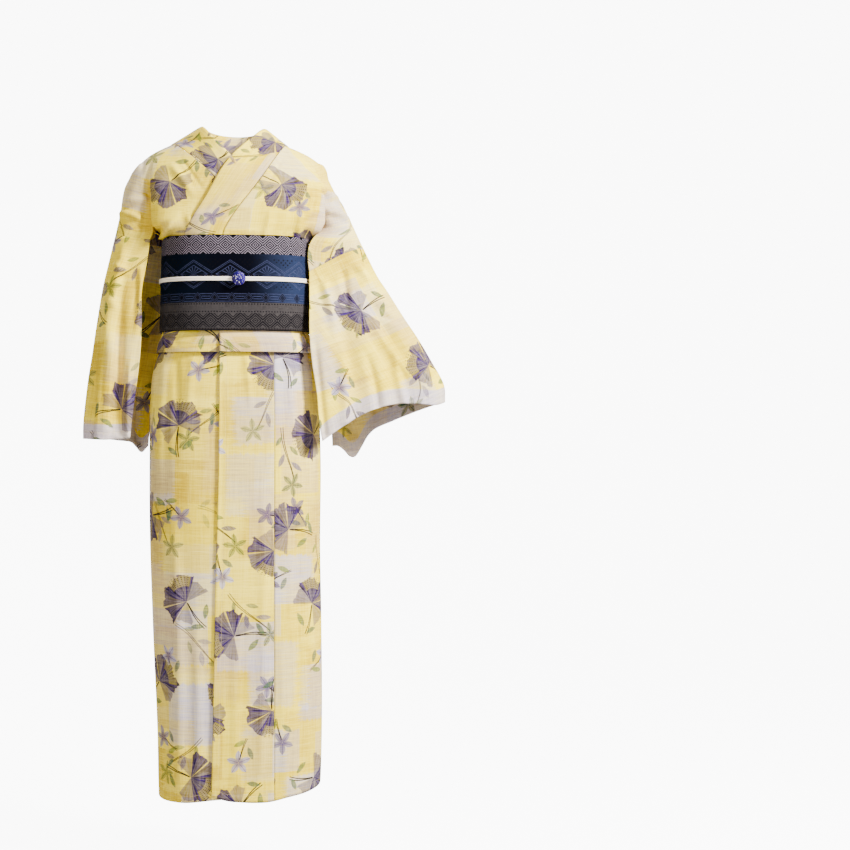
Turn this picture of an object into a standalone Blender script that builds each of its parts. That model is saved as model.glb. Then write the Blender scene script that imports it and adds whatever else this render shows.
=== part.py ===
"""A woman's cotton yukata in its worn form, hollow, with its half-width belt, belt cord and bead.

Frame: metres, +Z up, -Y to the front, +X to the wearer's left. The origin lies at the wearer's shoulders,
at the height where the collar seams cross the shoulder line. Every cloth piece is a thin closed wall whose
middle surface is worked out from sections of a plain padded figure.
"""

import bpy
import numpy as np

# Cloth and seams
WALL = 0.0016
TUCK_WALL = 0.0030
SEAM_GAP = 0.0004
LAYER = 0.0052
SKIRT_LAYER = 0.0036
SQUARENESS = 2.6

# Levels below the shoulders
BELT_TOP = -0.179
BELT_BOTTOM = -0.356
TUCK_BOTTOM = -0.395
SKIRT_TOP = -0.335
SPLIT_LEVEL = -0.160
NAPE_SEAM = -0.024
HEM_LEVEL = -1.225

# Columns of each panel, counted in faces
CHEST_COLUMNS = 7
ARMPIT_COLUMNS = 3
ARM_COLUMNS = 22
BLADE_COLUMNS = 2
BACK_COLUMNS = 5
SECTION_POINTS = 240

# Padded figure: level, half width at the side, depth to the front, depth to the back
FIGURE = np.array([
    (-0.395, 0.1485, 0.1040, 0.0990),
    (-0.376, 0.1460, 0.1020, 0.0970),
    (-0.357, 0.1375, 0.0965, 0.0925),
    (-0.330, 0.1370, 0.0965, 0.0920),
    (-0.270, 0.1350, 0.0960, 0.0910),
    (-0.200, 0.1325, 0.0950, 0.0890),
    (-0.170, 0.1335, 0.0950, 0.0890),
    (0.060, 0.1500, 0.0800, 0.0800),
])

# Skirt: level, half width on the wearer's left, half width on the right, depth to the front, to the back
SKIRT = np.array([
    (-1.230, 0.1590, 0.1450, 0.0985, 0.0930),
    (-1.125, 0.1620, 0.1465, 0.0990, 0.0940),
    (-0.900, 0.1605, 0.1560, 0.1010, 0.0980),
    (-0.750, 0.1590, 0.1610, 0.1030, 0.1020),
    (-0.590, 0.1605, 0.1620, 0.1050, 0.1060),
    (-0.480, 0.1560, 0.1600, 0.1045, 0.1040),
    (-0.425, 0.1505, 0.1540, 0.1010, 0.1000),
    (-0.395, 0.1425, 0.1435, 0.0960, 0.0935),
    (-0.365, 0.1300, 0.1300, 0.0875, 0.0855),
    (-0.335, 0.1285, 0.1285, 0.0865, 0.0850),
])
# Edges and seams of the skirt's front: distance from the centre at a level
OVER_EDGE_LEVELS = (-1.22, -0.86, -0.60, -0.35)
OVER_EDGE = (-0.0450, -0.0385, -0.0315, -0.0300)
OVER_SEAM = 0.0700
UNDER_SEAM_LEVELS = (-1.22, -0.35)
UNDER_SEAM = (0.0180, 0.0080)
UNDER_EDGE = -0.1050
SKIRT_ROWS = 9
ROW_SPACING = 1.15
LIFT_START = 0.112
LIFT_END = 0.152
# Hem: turn round the skirt from the front (0) over the side (0.5) to the back (1), level on the left half,
# level on the right half
HEM = np.array([
    (-0.14, -1.2110, -1.2200),
    (-0.06, -1.2170, -1.2200),
    (0.00, -1.2265, -1.2210),
    (0.07, -1.2290, -1.2240),
    (0.18, -1.2215, -1.2293),
    (0.28, -1.2165, -1.2295),
    (0.38, -1.2110, -1.2280),
    (0.50, -1.2045, -1.2240),
    (0.75, -1.2070, -1.2140),
    (1.00, -1.2100, -1.2100),
])

# Chest and back: half width of the squarish oval, fall of the cloth below the shoulder line, and
# depth at a level
CHEST_HALF_WIDTH = 0.195
CHEST_FALL = 0.050
BACK_FALL = 0.060
CHEST_LEVELS = (-0.18, -0.10, 0.05)
CHEST_DEPTHS = (0.0950, 0.0930, 0.0860)
BACK_DEPTHS = (0.0900, 0.0930, 0.0900)
# The fold before the armpit: where its crest stands on each half, and how far round the arm the cloth goes
CREST_LEFT = 0.168
CREST_RIGHT = 0.158
CREST_DEPTH = 0.92
CREST_EASE = 0.004
ARM_TURN = 112
# Shares of the shoulder section's front and back given to chest, armpit, arm, blade and back
DOME_CHEST = 0.66
DOME_ARMPIT = 0.74
DOME_REAR_ARM = 0.27
DOME_BLADE = 0.36
BODICE_DROPS = (0.004, 0.013, 0.024, 0.038, 0.056, 0.080, 0.107, 0.134, -SPLIT_LEVEL)
LOWER_LEVELS = (-0.1765, -0.215, -0.275, -0.345, -0.362, -0.380, TUCK_BOTTOM)

# Shoulder and arm outline, from the neck outwards: distance from the centre, level
OUTLINE_LEFT = np.array([
    (0.0000, 0.0760),
    (0.0550, 0.0330),
    (0.0945, 0.0000),
    (0.1254, -0.0133),
    (0.1634, -0.0399),
    (0.1824, -0.0779),
    (0.2128, -0.1330),
    (0.2413, -0.1919),
])
OUTLINE_RIGHT = np.array([
    (0.0000, 0.0850),
    (0.0630, 0.0360),
    (0.1180, 0.0000),
    (0.1444, -0.0124),
    (0.1670, -0.0266),
    (0.1870, -0.0475),
    (0.2100, -0.0836),
    (0.2166, -0.1350),
    (0.2261, -0.1748),
])

# Front neck seam, from the shoulder down: level, distance from the centre towards the wearer's own side
NECK_SEAM_LEFT = np.array([
    (-0.400, -0.0300),
    (-0.230, -0.0290),
    (-0.182, -0.0258),
    (-0.071, 0.0474),
    (0.000, 0.0945),
])
NECK_SEAM_RIGHT = np.array([
    (-0.400, -0.0420),
    (-0.230, -0.0380),
    (-0.182, -0.0300),
    (-0.071, 0.0389),
    (0.000, 0.1180),
])

# Neck edge of the collar: level, distance from the centre towards the wearer's own side
NECK_EDGE_LEFT = np.array([
    (-0.400, -0.0985),
    (-0.230, -0.0980),
    (-0.182, -0.0965),
    (-0.105, -0.0550),
    (-0.0295, -0.0093),
    (0.0100, 0.0330),
    (0.0330, 0.0560),
])
NECK_EDGE_RIGHT = np.array([
    (-0.400, -0.0960),
    (-0.230, -0.0950),
    (-0.182, -0.0900),
    (-0.105, -0.0450),
    (-0.0295, 0.0093),
    (0.0100, 0.0450),
    (0.0360, 0.0640),
])

# Sleeves, from the armhole to the wrist. Outer line: distance out, level. Front and back inner edges:
# distance out, level, distance forward. Roll: radius of the roll over the arm, distance forward.
SLEEVE_LEFT = {
    "outer": ((0.2413, -0.1919), (0.2680, -0.2450), (0.2880, -0.2750), (0.3190, -0.3240), (0.3477, -0.3667),
              (0.3720, -0.4080), (0.3960, -0.4520), (0.3985, -0.4860)),
    "front": ((0.1400, -0.2425, 0.062), (0.1425, -0.3000, 0.074), (0.1435, -0.3550, 0.084),
              (0.1490, -0.4114, 0.092), (0.1545, -0.4700, 0.099), (0.1571, -0.5178, 0.104),
              (0.1611, -0.5602, 0.108)),
    "back": ((0.1640, -0.2200, -0.026), (0.1700, -0.2950, -0.040), (0.1760, -0.3700, -0.046),
             (0.1830, -0.4400, -0.048), (0.1920, -0.5050, -0.044), (0.2010, -0.5700, -0.036)),
    "roll": ((0.044, 0.004), (0.046, 0.006), (0.047, 0.012), (0.046, 0.018), (0.044, 0.022)),
    "pit_swell": (-0.0100, -0.0060, 0.0),
    "mouth_lift": 0.030,
    "tail_drop": 0.034,
}
SLEEVE_RIGHT = {
    "outer": ((0.2261, -0.1748), (0.2410, -0.2356), (0.2500, -0.2760), (0.2603, -0.3401), (0.2689, -0.3999),
              (0.2774, -0.4598), (0.2840, -0.5187), (0.2850, -0.5560)),
    "front": ((0.1592, -0.1835, 0.046), (0.1650, -0.2247, 0.046), (0.1740, -0.2799, 0.048),
              (0.1745, -0.3352, 0.052), (0.1765, -0.3900, 0.055), (0.1830, -0.4500, 0.056),
              (0.1925, -0.5206, 0.056), (0.1967, -0.5543, 0.056)),
    "back": ((0.1475, -0.1900, -0.026), (0.1475, -0.2500, -0.033), (0.1510, -0.3300, -0.037),
             (0.1600, -0.4100, -0.037), (0.1650, -0.4900, -0.035), (0.1680, -0.5660, -0.031)),
    "roll": ((0.038, 0.004), (0.040, 0.006), (0.041, 0.010), (0.041, 0.014), (0.041, 0.018)),
    "pit_swell": (-0.0020, -0.0020, 0.0),
    "mouth_lift": 0.000,
    "tail_drop": 0.018,
}
SLEEVE_ROWS = 12
ROLL_TURN = 96
FOLD_DEPTH_FRONT = 0.0045
FOLD_DEPTH_REAR = 0.0050
FOLDS_FRONT = 5.2
FOLDS_REAR = 4.6
TAIL_PLACE = 0.945
TAIL_SPREAD = 0.045

# Collar strip
COLLAR_COLUMNS = 3
COLLAR_WALL = 0.0024
COLLAR_CLEARANCE = 0.0010
COLLAR_PROUD = 0.0015
COLLAR_BOW = 0.0015
NAPE_EDGE = (0.0, 0.0920, 0.0300)

# Belt, knot, cord and bead
BELT_WALL = 0.0038
BELT_COLUMNS = 44
BELT_ROWS = 4
RING_COLUMNS = 200
BELT_SIDE_TOP = 0.1385
BELT_SIDE_BOTTOM = 0.1440
BELT_DEPTH_TOP = 0.1075
BELT_DEPTH_BOTTOM = 0.1090
BELT_FLATTER_BACK = 0.006
CORD_LEVEL = -0.2605
CORD_WIDTH = 0.0080
CORD_THICKNESS = 0.0034
CORD_COLUMNS = 52
CORD_SECTION = ((1.0, 0.55), (1.0, -0.55), (0.6, -1.0), (-0.6, -1.0), (-1.0, -0.55), (-1.0, 0.55),
                (-0.6, 1.0), (0.6, 1.0))
BEAD_X = 0.005
BEAD_COLUMNS = 20
BEAD_ROWS = 6
BEAD_RADIUS = 0.0130
BEAD_DEPTH = 0.0150
KNOT_HALF_WIDTH = 0.112
KNOT_TOP = -0.196
KNOT_BOTTOM = -0.342
KNOT_WALL = 0.0080
KNOT_BAND_HALF = 0.036
KNOT_EASE = 0.0006
# The band over the knot card: share of the way out from the belt, and level
BAND_PATH = (
    (-0.12, BELT_TOP - 0.0035),
    (0.28, KNOT_TOP + 0.0110),
    (0.90, KNOT_TOP + 0.0028),
    (1.00, KNOT_TOP + 0.0003),
    (1.00, KNOT_TOP - 0.0080),
    (1.00, 0.5 * (KNOT_TOP + KNOT_BOTTOM)),
    (1.00, KNOT_BOTTOM + 0.0080),
    (1.00, KNOT_BOTTOM - 0.0003),
    (0.90, KNOT_BOTTOM - 0.0028),
    (0.28, KNOT_BOTTOM - 0.0110),
    (0.08, BELT_BOTTOM + 0.0035),
)
BAND_BOW = 0.0016

# Finishes: colour, roughness
YELLOW_COTTON = ((0.86, 0.76, 0.42), 0.85)
NAVY_WEAVE = ((0.030, 0.042, 0.085), 0.75)
IVORY_BRAID = ((0.86, 0.80, 0.76), 0.70)
VIOLET_GLASS = ((0.045, 0.014, 0.42), 0.25)


def curve(x, table, column):
    """Smooth curve through one column of a short table, whose first column rises."""
    keys = table[:, 0]
    values = table[:, column]
    slopes = np.gradient(values, keys)
    x = np.clip(x, keys[0], keys[-1])
    i = np.clip(np.searchsorted(keys, x, side="right") - 1, 0, len(keys) - 2)
    step = keys[i + 1] - keys[i]
    t = (x - keys[i]) / step
    start = (2 * t**3 - 3 * t**2 + 1) * values[i] + (t**3 - 2 * t**2 + t) * step * slopes[i]
    return start + (3 * t**2 - 2 * t**3) * values[i + 1] + (t**3 - t**2) * step * slopes[i + 1]


def along(points, share):
    """Points at given shares of the way along a smooth curve through a few points."""
    points = np.asarray(points, float)
    keys = np.linspace(0.0, 1.0, len(points))
    table = np.column_stack([keys, points])
    return np.stack([curve(share, table, k + 1) for k in range(points.shape[1])], axis=-1)


def smooth_step(low, high, value):
    """0 below low, 1 above high, with an even turn between."""
    t = np.clip((value - low) / (high - low), 0.0, 1.0)
    return t * t * (3 - 2 * t)


def resample(points, shares):
    """Points at given shares of a polyline's length."""
    steps = np.linalg.norm(np.diff(points, axis=0), axis=1)
    length = np.concatenate([[0.0], np.cumsum(steps)])
    wanted = np.asarray(shares) * length[-1]
    return np.stack([np.interp(wanted, length, points[:, k]) for k in range(points.shape[1])], axis=-1)


def rounded(x, half_width):
    """Share of the full depth left at a distance x from the centre of a squarish oval."""
    return np.clip(1 - np.abs(x / half_width) ** SQUARENESS, 0.0, 1.0) ** (1 / SQUARENESS)


def oval(turn, half_width, front, back):
    """x and y on a squarish oval; turn runs from the front (0) over the side (0.5) to the back (1)."""
    angle = np.pi * turn
    sine = np.sin(angle)
    cosine = np.cos(angle)
    x = half_width * np.sign(sine) * np.abs(sine) ** (2 / SQUARENESS)
    depth = np.where(cosine > 0, front, back)
    return x, -depth * np.sign(cosine) * np.abs(cosine) ** (2 / SQUARENESS)


def turn_at(x, half_width):
    """The front turn at which an oval reaches the distance x."""
    share = np.clip(x / half_width, -1.0, 1.0)
    return np.arcsin(np.sign(share) * np.abs(share) ** (SQUARENESS / 2)) / np.pi


class Side:
    """One half of the upper body: the wearer's left or right."""

    def __init__(self, sign, outline, neck_seam, neck_edge, sleeve, lift):
        self.sign = sign
        self.outline = outline
        self.neck_seam = neck_seam
        self.neck_edge = neck_edge
        self.sleeve = sleeve
        self.lift = lift

    def ridge(self, x):
        """Level of the shoulder line at a distance from the centre."""
        return curve(np.abs(x), self.outline, 1)

    def reach(self, level):
        """How far out the shoulder or arm reaches at a level."""
        return np.interp(level, self.outline[::-1, 1], self.outline[::-1, 0])

    def front(self, x, level):
        """Depth of the front at a place: it rounds down from the shoulder line and towards the arm."""
        fall = np.clip(self.ridge(x) - level, 0.0, None) / CHEST_FALL
        full = np.interp(level, CHEST_LEVELS, CHEST_DEPTHS)
        return -full * np.sqrt(1 - np.exp(-fall)) * rounded(x, CHEST_HALF_WIDTH)

    def back(self, x, level):
        """Depth of the back at a place."""
        fall = np.clip(self.ridge(x) - level, 0.0, None) / BACK_FALL
        full = np.interp(level, CHEST_LEVELS, BACK_DEPTHS)
        return full * np.sqrt(1 - np.exp(-fall)) * rounded(x, CHEST_HALF_WIDTH)

    def over(self, x, level):
        """How far the left front stands off the right one that it covers."""
        return self.lift * (1 - smooth_step(0.095, 0.140, x)) * (1 - smooth_step(-0.075, -0.020, level))

    def dome(self, level):
        """Section at a level over shoulder and arm as one rounded form, from the neck seam to the back."""
        start = curve(level, self.neck_seam, 1)
        end = self.outline[2, 0] * smooth_step(NAPE_SEAM, 0.0, level)
        reach = self.reach(level)
        turn = 0.5 - 0.5 * np.cos(np.linspace(0, np.pi, SECTION_POINTS))
        x_front = start + (reach - start) * turn
        x_back = reach + (end - reach) * turn
        front = np.column_stack([x_front, self.front(x_front, level)])
        back = np.column_stack([x_back, self.back(x_back, level)])
        return front, back

    def arm_circle(self, level):
        """Centre and radius of the cloth round the upper arm at a level."""
        radius = self.sleeve["roll"][0][0]
        return self.reach(level) - radius, -self.sleeve["roll"][0][1], radius

    def bodice_row(self, level):
        """Points across the cloth at one level above the armhole's foot."""
        front, back = self.dome(level)
        half_arm = ARM_COLUMNS // 2
        dome_front = np.linspace(0, DOME_CHEST, CHEST_COLUMNS + 1)
        dome_pit = np.linspace(DOME_CHEST, DOME_ARMPIT, ARMPIT_COLUMNS + 1)[1:]
        dome_arm = np.linspace(DOME_ARMPIT, 1.0, half_arm + 1)[1:]
        dome = np.vstack([
            resample(front, np.concatenate([dome_front, dome_pit, dome_arm])),
            resample(back, np.concatenate([
                np.linspace(0, DOME_REAR_ARM, half_arm + 1)[1:],
                np.linspace(DOME_REAR_ARM, DOME_BLADE, BLADE_COLUMNS + 1)[1:],
                np.linspace(DOME_BLADE, 1.0, BACK_COLUMNS + 1)[1:],
            ])),
        ])
        creased = self.creased_row(level, front, back)
        share = smooth_step(0.030, 0.105, -level)
        row = dome * (1 - share) + creased * share
        row[:, 1] -= np.where(np.arange(len(row)) <= CHEST_COLUMNS, self.over(row[:, 0], level), 0.0)
        return np.column_stack([row, np.full(len(row), level)])

    def creased_row(self, level, front, back):
        """Chest, the fold before the armpit, the roll round the arm, and the back."""
        crest_x = CREST_RIGHT if self.sign < 0 else CREST_LEFT
        centre_x, centre_y, radius = self.arm_circle(level)
        chest = front[front[:, 0] < crest_x]
        crest = np.array([crest_x, self.front(crest_x, level) * CREST_DEPTH])
        chest = resample(np.vstack([chest, crest]), np.linspace(0, 1, CHEST_COLUMNS + 1))
        valley = np.array([min(centre_x - 0.30 * radius, crest_x - CREST_EASE), centre_y - 0.78 * radius])
        fold = crest + (valley - crest) * np.linspace(0, 1, ARMPIT_COLUMNS + 1)[1:, None]
        fold[:, 0] -= CREST_EASE * np.sin(np.linspace(0, np.pi, ARMPIT_COLUMNS + 1)[1:])
        turn = np.radians(np.linspace(ARM_TURN, -ARM_TURN, ARM_COLUMNS + 1)[1:])
        arm = np.column_stack([centre_x + radius * np.cos(turn), centre_y - radius * np.sin(turn)])
        arm[0] = 0.5 * (arm[0] + valley)
        blade_x = crest_x - 1.5 * CREST_EASE
        blade = np.array([blade_x, self.back(blade_x, level) * CREST_DEPTH])
        ease = arm[-1] + (blade - arm[-1]) * np.linspace(0, 1, BLADE_COLUMNS + 1)[1:, None]
        rear = np.vstack([blade, back[back[:, 0] < blade_x - CREST_EASE]])
        rear = resample(rear, np.linspace(0, 1, BACK_COLUMNS + 1))[1:]
        return np.vstack([chest, fold, arm, ease, rear])

    def sleeve_ring(self, share, columns):
        """One ring of the sleeve: in along the front, round the roll over the arm, and in along the back."""
        outer = along(self.sleeve["outer"], share)
        inner_front = along(self.sleeve["front"], share)
        inner_back = along(self.sleeve["back"], share)
        radius, forward = along(self.sleeve["roll"], share)
        middle = 0.5 * (inner_front[:2] + inner_back[:2])
        inward = (middle - outer) / np.linalg.norm(middle - outer)
        centre = outer + radius * inward
        turn = np.radians(np.linspace(ROLL_TURN, -ROLL_TURN, 60))
        arc = np.column_stack([
            centre[0] - radius * np.cos(turn) * inward[0],
            -forward - radius * np.sin(turn),
            centre[1] - radius * np.cos(turn) * inward[1],
        ])
        first = np.array([inner_front[0], -inner_front[2], inner_front[1]])
        last = np.array([inner_back[0], -inner_back[2], inner_back[1]])
        ring = resample(np.vstack([first, arc, last]), np.linspace(0, 1, 8 * columns + 1))
        kernel = np.hanning(columns // 2 * 2 + 3)
        kernel /= kernel.sum()
        pad = len(kernel) // 2
        padded = np.vstack([2 * ring[0] - ring[pad:0:-1], ring, 2 * ring[-1] - ring[-2:-pad - 2:-1]])
        ring = np.stack([np.convolve(padded[:, k], kernel, mode="valid") for k in range(3)], axis=-1)
        return resample(ring, np.linspace(0, 1, columns + 1))

    def finish(self, points):
        """Turns the half's own coordinates, with x outwards, into the garment's."""
        return points * np.array([self.sign, 1.0, 1.0])


def sleeve_grid(side, rows, columns):
    """The whole sleeve: rings from the armhole to the wrist, with folds and a hanging tail."""
    shares = np.linspace(0, 1, rows + 1)
    place = np.linspace(0, 1, columns + 1)
    grid = np.stack([side.sleeve_ring(share, columns) for share in shares])
    down = shares[:, None]
    mouth = np.sin(np.pi * np.clip(place / 0.44, 0, 1)) * side.sleeve["mouth_lift"]
    grid[:, :, 2] += mouth * smooth_step(0.55, 1.0, down)
    tail = np.exp(-((place - TAIL_PLACE) / TAIL_SPREAD) ** 2) * side.sleeve["tail_drop"]
    grid[:, :, 2] -= tail * smooth_step(0.6, 1.0, down)
    front = np.sin(np.pi * np.clip(place / 0.46, 0, 1)) ** 0.7
    rear = np.sin(np.pi * np.clip((place - 0.54) / 0.46, 0, 1)) ** 0.7
    wave_front = FOLD_DEPTH_FRONT * np.cos(2 * np.pi * (place * FOLDS_FRONT + 0.35 * down)) * front
    wave_rear = FOLD_DEPTH_REAR * np.cos(2 * np.pi * (place * FOLDS_REAR - 0.3 * down)) * rear
    grid[:, :, 1] += (wave_front + wave_rear) * smooth_step(0.05, 0.5, down)
    return grid


def armhole(side):
    """The seam line round the arm that the body panel and the sleeve share."""
    return sleeve_grid(side, 2, ARM_COLUMNS)[0]


def bodice_blocks(side):
    """Grids of the body panel: shoulder and arm, armhole strip, then front and back below the arm."""
    top = side.outline[2, 1]
    upper = np.stack([side.bodice_row(top - drop) for drop in BODICE_DROPS])
    pit = CHEST_COLUMNS + ARMPIT_COLUMNS
    shoulder = pit + ARM_COLUMNS
    seam = armhole(side)
    strip = upper[-1, pit:shoulder + 1]
    away = strip - seam
    away /= np.linalg.norm(away, axis=1, keepdims=True)
    seam = seam + away * SEAM_GAP
    shares = np.linspace(0, 1, 5)[:, None, None]
    arm_block = strip * (1 - shares) + seam * shares
    near_body = np.clip(1 - np.arange(ARM_COLUMNS + 1) / 5, 0, 1)[None, :, None]
    swell = np.sin(np.pi * np.clip(shares, 0, 1)) * near_body
    arm_block += swell * np.array(side.sleeve["pit_swell"])
    front_rows = [upper[-1, :pit + 1]]
    back_rows = [upper[-1, shoulder:]]
    back_columns = BLADE_COLUMNS + BACK_COLUMNS
    for level in LOWER_LEVELS:
        width, front, back = (curve(level, FIGURE, k) for k in (1, 2, 3))
        start = turn_at(curve(level, side.neck_seam, 1), width)
        turn = np.linspace(start, 0.5, SECTION_POINTS)
        x, y = oval(turn, width, front, back)
        y = y - side.over(x, level)
        front_rows.append(panel_row(x, np.minimum(y, -SEAM_GAP), level, pit))
        turn = np.linspace(0.5, 1.0, SECTION_POINTS)
        x, y = oval(turn, width, front, back)
        x = np.maximum(x, SEAM_GAP / 2)
        y = np.maximum(y, SEAM_GAP)
        back_rows.append(panel_row(x, y, level, back_columns))
    upper[:, -1, 0] = np.maximum(upper[:, -1, 0], SEAM_GAP / 2)
    return [upper, arm_block, np.stack(front_rows), np.stack(back_rows)]


def panel_row(x, y, level, columns):
    """One level row of a panel, evenly divided."""
    points = np.column_stack([x, y, np.full(len(x), level)])
    return resample(points, np.linspace(0, 1, columns + 1))


def skirt_panel(sign, start, end, rows, columns, lift, forward):
    """A skirt panel between two edges, each given as its turn at a level, hung from the waist to the hem."""
    across = np.linspace(0, 1, columns + 1)
    grid = np.zeros((rows + 1, columns + 1, 3))
    for i, share in enumerate(np.linspace(0, 1, rows + 1) ** ROW_SPACING):
        level = SKIRT_TOP + (HEM_LEVEL - SKIRT_TOP) * share
        turn = start(level) + (end(level) - start(level)) * across
        hem = curve(turn, HEM, 1 if sign > 0 else 2)
        z = SKIRT_TOP + (hem - SKIRT_TOP) * share
        width = curve(z, SKIRT, 1 if sign > 0 else 2)
        x, y = oval(turn, width, curve(z, SKIRT, 3), curve(z, SKIRT, 4))
        fade = 1 - smooth_step(LIFT_START, LIFT_END, x)
        y = y - lift * fade * np.where(y < 0, 1.0, 0.0)
        if forward:
            y = np.minimum(y, -SEAM_GAP / 2)
        else:
            x = np.maximum(x, SEAM_GAP / 2)
            y = np.maximum(y, SEAM_GAP / 2)
        grid[i] = np.column_stack([sign * x, y, z])
    return grid


def side_seam(level):
    """The side seam, halfway round."""
    return 0.5


def centre_back(level):
    """The centre back seam."""
    return 1.0


def left_width(level):
    """Half width of the skirt on the wearer's left."""
    return curve(level, SKIRT, 1)


def right_width(level):
    """Half width of the skirt on the wearer's right."""
    return curve(level, SKIRT, 2)


def over_edge(level):
    """The left overlap panel's free edge, which drifts to the wearer's right towards the hem."""
    return turn_at(np.interp(level, OVER_EDGE_LEVELS, OVER_EDGE), left_width(level))


def over_seam(level):
    """The seam between the left overlap panel and the left front."""
    return turn_at(OVER_SEAM, left_width(level))


def over_seam_front(level):
    """The left front's edge at that seam."""
    return turn_at(OVER_SEAM + SEAM_GAP, left_width(level))


def under_seam(level):
    """The right front's edge at its overlap panel, just below the left overlap's edge."""
    return turn_at(np.interp(level, UNDER_SEAM_LEVELS, UNDER_SEAM), right_width(level))


def under_seam_panel(level):
    """The right overlap panel's edge at that seam."""
    x = np.interp(level, UNDER_SEAM_LEVELS, UNDER_SEAM) - SEAM_GAP
    return turn_at(x, right_width(level))


def under_edge(level):
    """The right overlap panel's free edge, hidden below the left front."""
    return turn_at(UNDER_EDGE, right_width(level))


def neck_line(side, blocks):
    """The body panel's neck edge from the collar's foot up over the shoulder and down to the nape."""
    upper, _, front, _ = blocks
    foot = front[2:0:-1, 0]
    rise = upper[::-1, 0]
    over = resample(upper[0], np.linspace(0, 1, 7))[1:-1]
    nape = upper[:3, -1]
    return np.vstack([foot, rise, over, nape])


def chest(side, x, level):
    """Depth at which the collar lies on the chest, and below the belt's top on the figure."""
    width, front = curve(level, FIGURE, 1), curve(level, FIGURE, 2)
    tucked = smooth_step(0.162, 0.1765, -level)
    y = side.front(x, level) * (1 - tucked) - front * rounded(x, width) * tucked
    proud = COLLAR_PROUD * (1 - tucked)
    return y - side.over(x, level) * (1 - 0.20 * smooth_step(0.050, 0.100, np.abs(x))) - proud


def collar_half(side, blocks):
    """Half of the collar from its foot to the nape: each row runs from the neck seam to the neck edge."""
    seam = neck_line(side, blocks)
    count = len(seam)
    steps = np.linalg.norm(np.diff(seam, axis=0), axis=1)
    length = np.concatenate([[0.0], np.cumsum(steps)])
    shoulder = length[-6]
    level = np.interp(length, [0.0, shoulder], [seam[0, 2], side.neck_edge[-1, 0]])
    x = curve(level, side.neck_edge, 1)
    edge = np.column_stack([x, chest(side, x, level), level])
    turn = np.clip((length - shoulder) / (length[-1] - shoulder), 0.0, 1.0)
    past = turn > 0
    side_point = np.array([side.neck_edge[-1, 1], side.front(side.neck_edge[-1, 1], side.neck_edge[-1, 0]),
                           side.neck_edge[-1, 0]])
    edge[past, 0] = side_point[0] * np.cos(turn[past] * np.pi / 2) ** 0.8
    edge[past, 1] = side_point[1] + (NAPE_EDGE[1] - side_point[1]) * np.sin(turn[past] * np.pi / 2)
    edge[past, 2] = side_point[2] + (NAPE_EDGE[2] - side_point[2]) * smooth_step(0, 1, turn[past])
    inward = edge - seam
    inward /= np.linalg.norm(inward, axis=1, keepdims=True)
    start = seam + inward * COLLAR_CLEARANCE
    across = np.linspace(0, 1, COLLAR_COLUMNS + 1)[None, :, None]
    bow = np.sin(np.pi * across) * COLLAR_BOW
    grid = start[:, None] * (1 - across) + edge[:, None] * across
    grid[:, :, 1] -= bow[:, :, 0] * np.linspace(1, 0, count)[:, None]
    lying = smooth_step(0.030, 0.070, -seam[:, 2])[:, None] * ~past[:, None]
    on_chest = chest(side, grid[:, :, 0], grid[:, :, 2])
    grid[:, :, 1] = grid[:, :, 1] * (1 - lying) + on_chest * lying
    return side.finish(grid)


def collar_grid(left, left_blocks, right, right_blocks):
    """The whole collar strip: left foot, left of the neck, nape, right of the neck, right foot."""
    left_half = collar_half(left, left_blocks)
    right_half = collar_half(right, right_blocks)
    middle = 0.5 * (left_half[-1] + right_half[-1])
    middle[:, 0] = 0.0
    return np.concatenate([left_half[:-1], middle[None], right_half[-2::-1]])


def belt_ring(level, offset, columns):
    """A level ring round the belt's middle surface, moved out by an offset."""
    share = np.interp(level, [BELT_BOTTOM, BELT_TOP], [1.0, 0.0])
    width = BELT_SIDE_TOP + (BELT_SIDE_BOTTOM - BELT_SIDE_TOP) * share - BELT_WALL / 2 + offset
    front = BELT_DEPTH_TOP + (BELT_DEPTH_BOTTOM - BELT_DEPTH_TOP) * share - BELT_WALL / 2 + offset
    turn = np.linspace(-1, 1, 8 * columns + 1)
    x, y = oval(turn, width, front, front - BELT_FLATTER_BACK)
    ring = np.column_stack([x, y, np.full(len(x), level)])
    return resample(ring, np.linspace(0, 1, columns + 1))[:-1]


def new_material(name, finish):
    """A plain material for one kind of cloth or trim."""
    colour, roughness = finish
    material = bpy.data.materials.get(name) or bpy.data.materials.new(name)
    material.use_nodes = True
    shader = material.node_tree.nodes["Principled BSDF"]
    shader.inputs["Base Color"].default_value = (*colour, 1.0)
    shader.inputs["Roughness"].default_value = roughness
    shader.inputs["Metallic"].default_value = 0.0
    return material


def add_object(name, vertices, faces, material):
    """Puts a closed mesh in the scene, smooth shaded, and turned right side out."""
    mesh = bpy.data.meshes.new(name)
    points = np.asarray(vertices)
    volume = 0.0
    for face in faces:
        a = points[face[0]]
        for k in range(1, len(face) - 1):
            volume += np.dot(a, np.cross(points[face[k]], points[face[k + 1]]))
    if volume < 0:
        faces = [tuple(reversed(face)) for face in faces]
    mesh.from_pydata([tuple(p) for p in points], [], faces)
    mesh.update()
    mesh.shade_smooth()
    mesh.materials.append(material)
    piece = bpy.data.objects.new(name, mesh)
    bpy.context.scene.collection.objects.link(piece)
    return piece


def quads_of(blocks, ring=False):
    """Welds grids that share points into one set of points and four-sided faces."""
    points = []
    index = {}
    quads = []

    def number(point):
        key = tuple(np.round(point, 6))
        if key not in index:
            index[key] = len(points)
            points.append(point)
        return index[key]

    for block in blocks:
        ids = np.array([[number(point) for point in row] for row in block])
        if ring:
            ids = np.concatenate([ids, ids[:, :1]], axis=1)
        for i in range(ids.shape[0] - 1):
            for j in range(ids.shape[1] - 1):
                quads.append((ids[i, j], ids[i, j + 1], ids[i + 1, j + 1], ids[i + 1, j]))
    return np.array(points), quads


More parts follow.
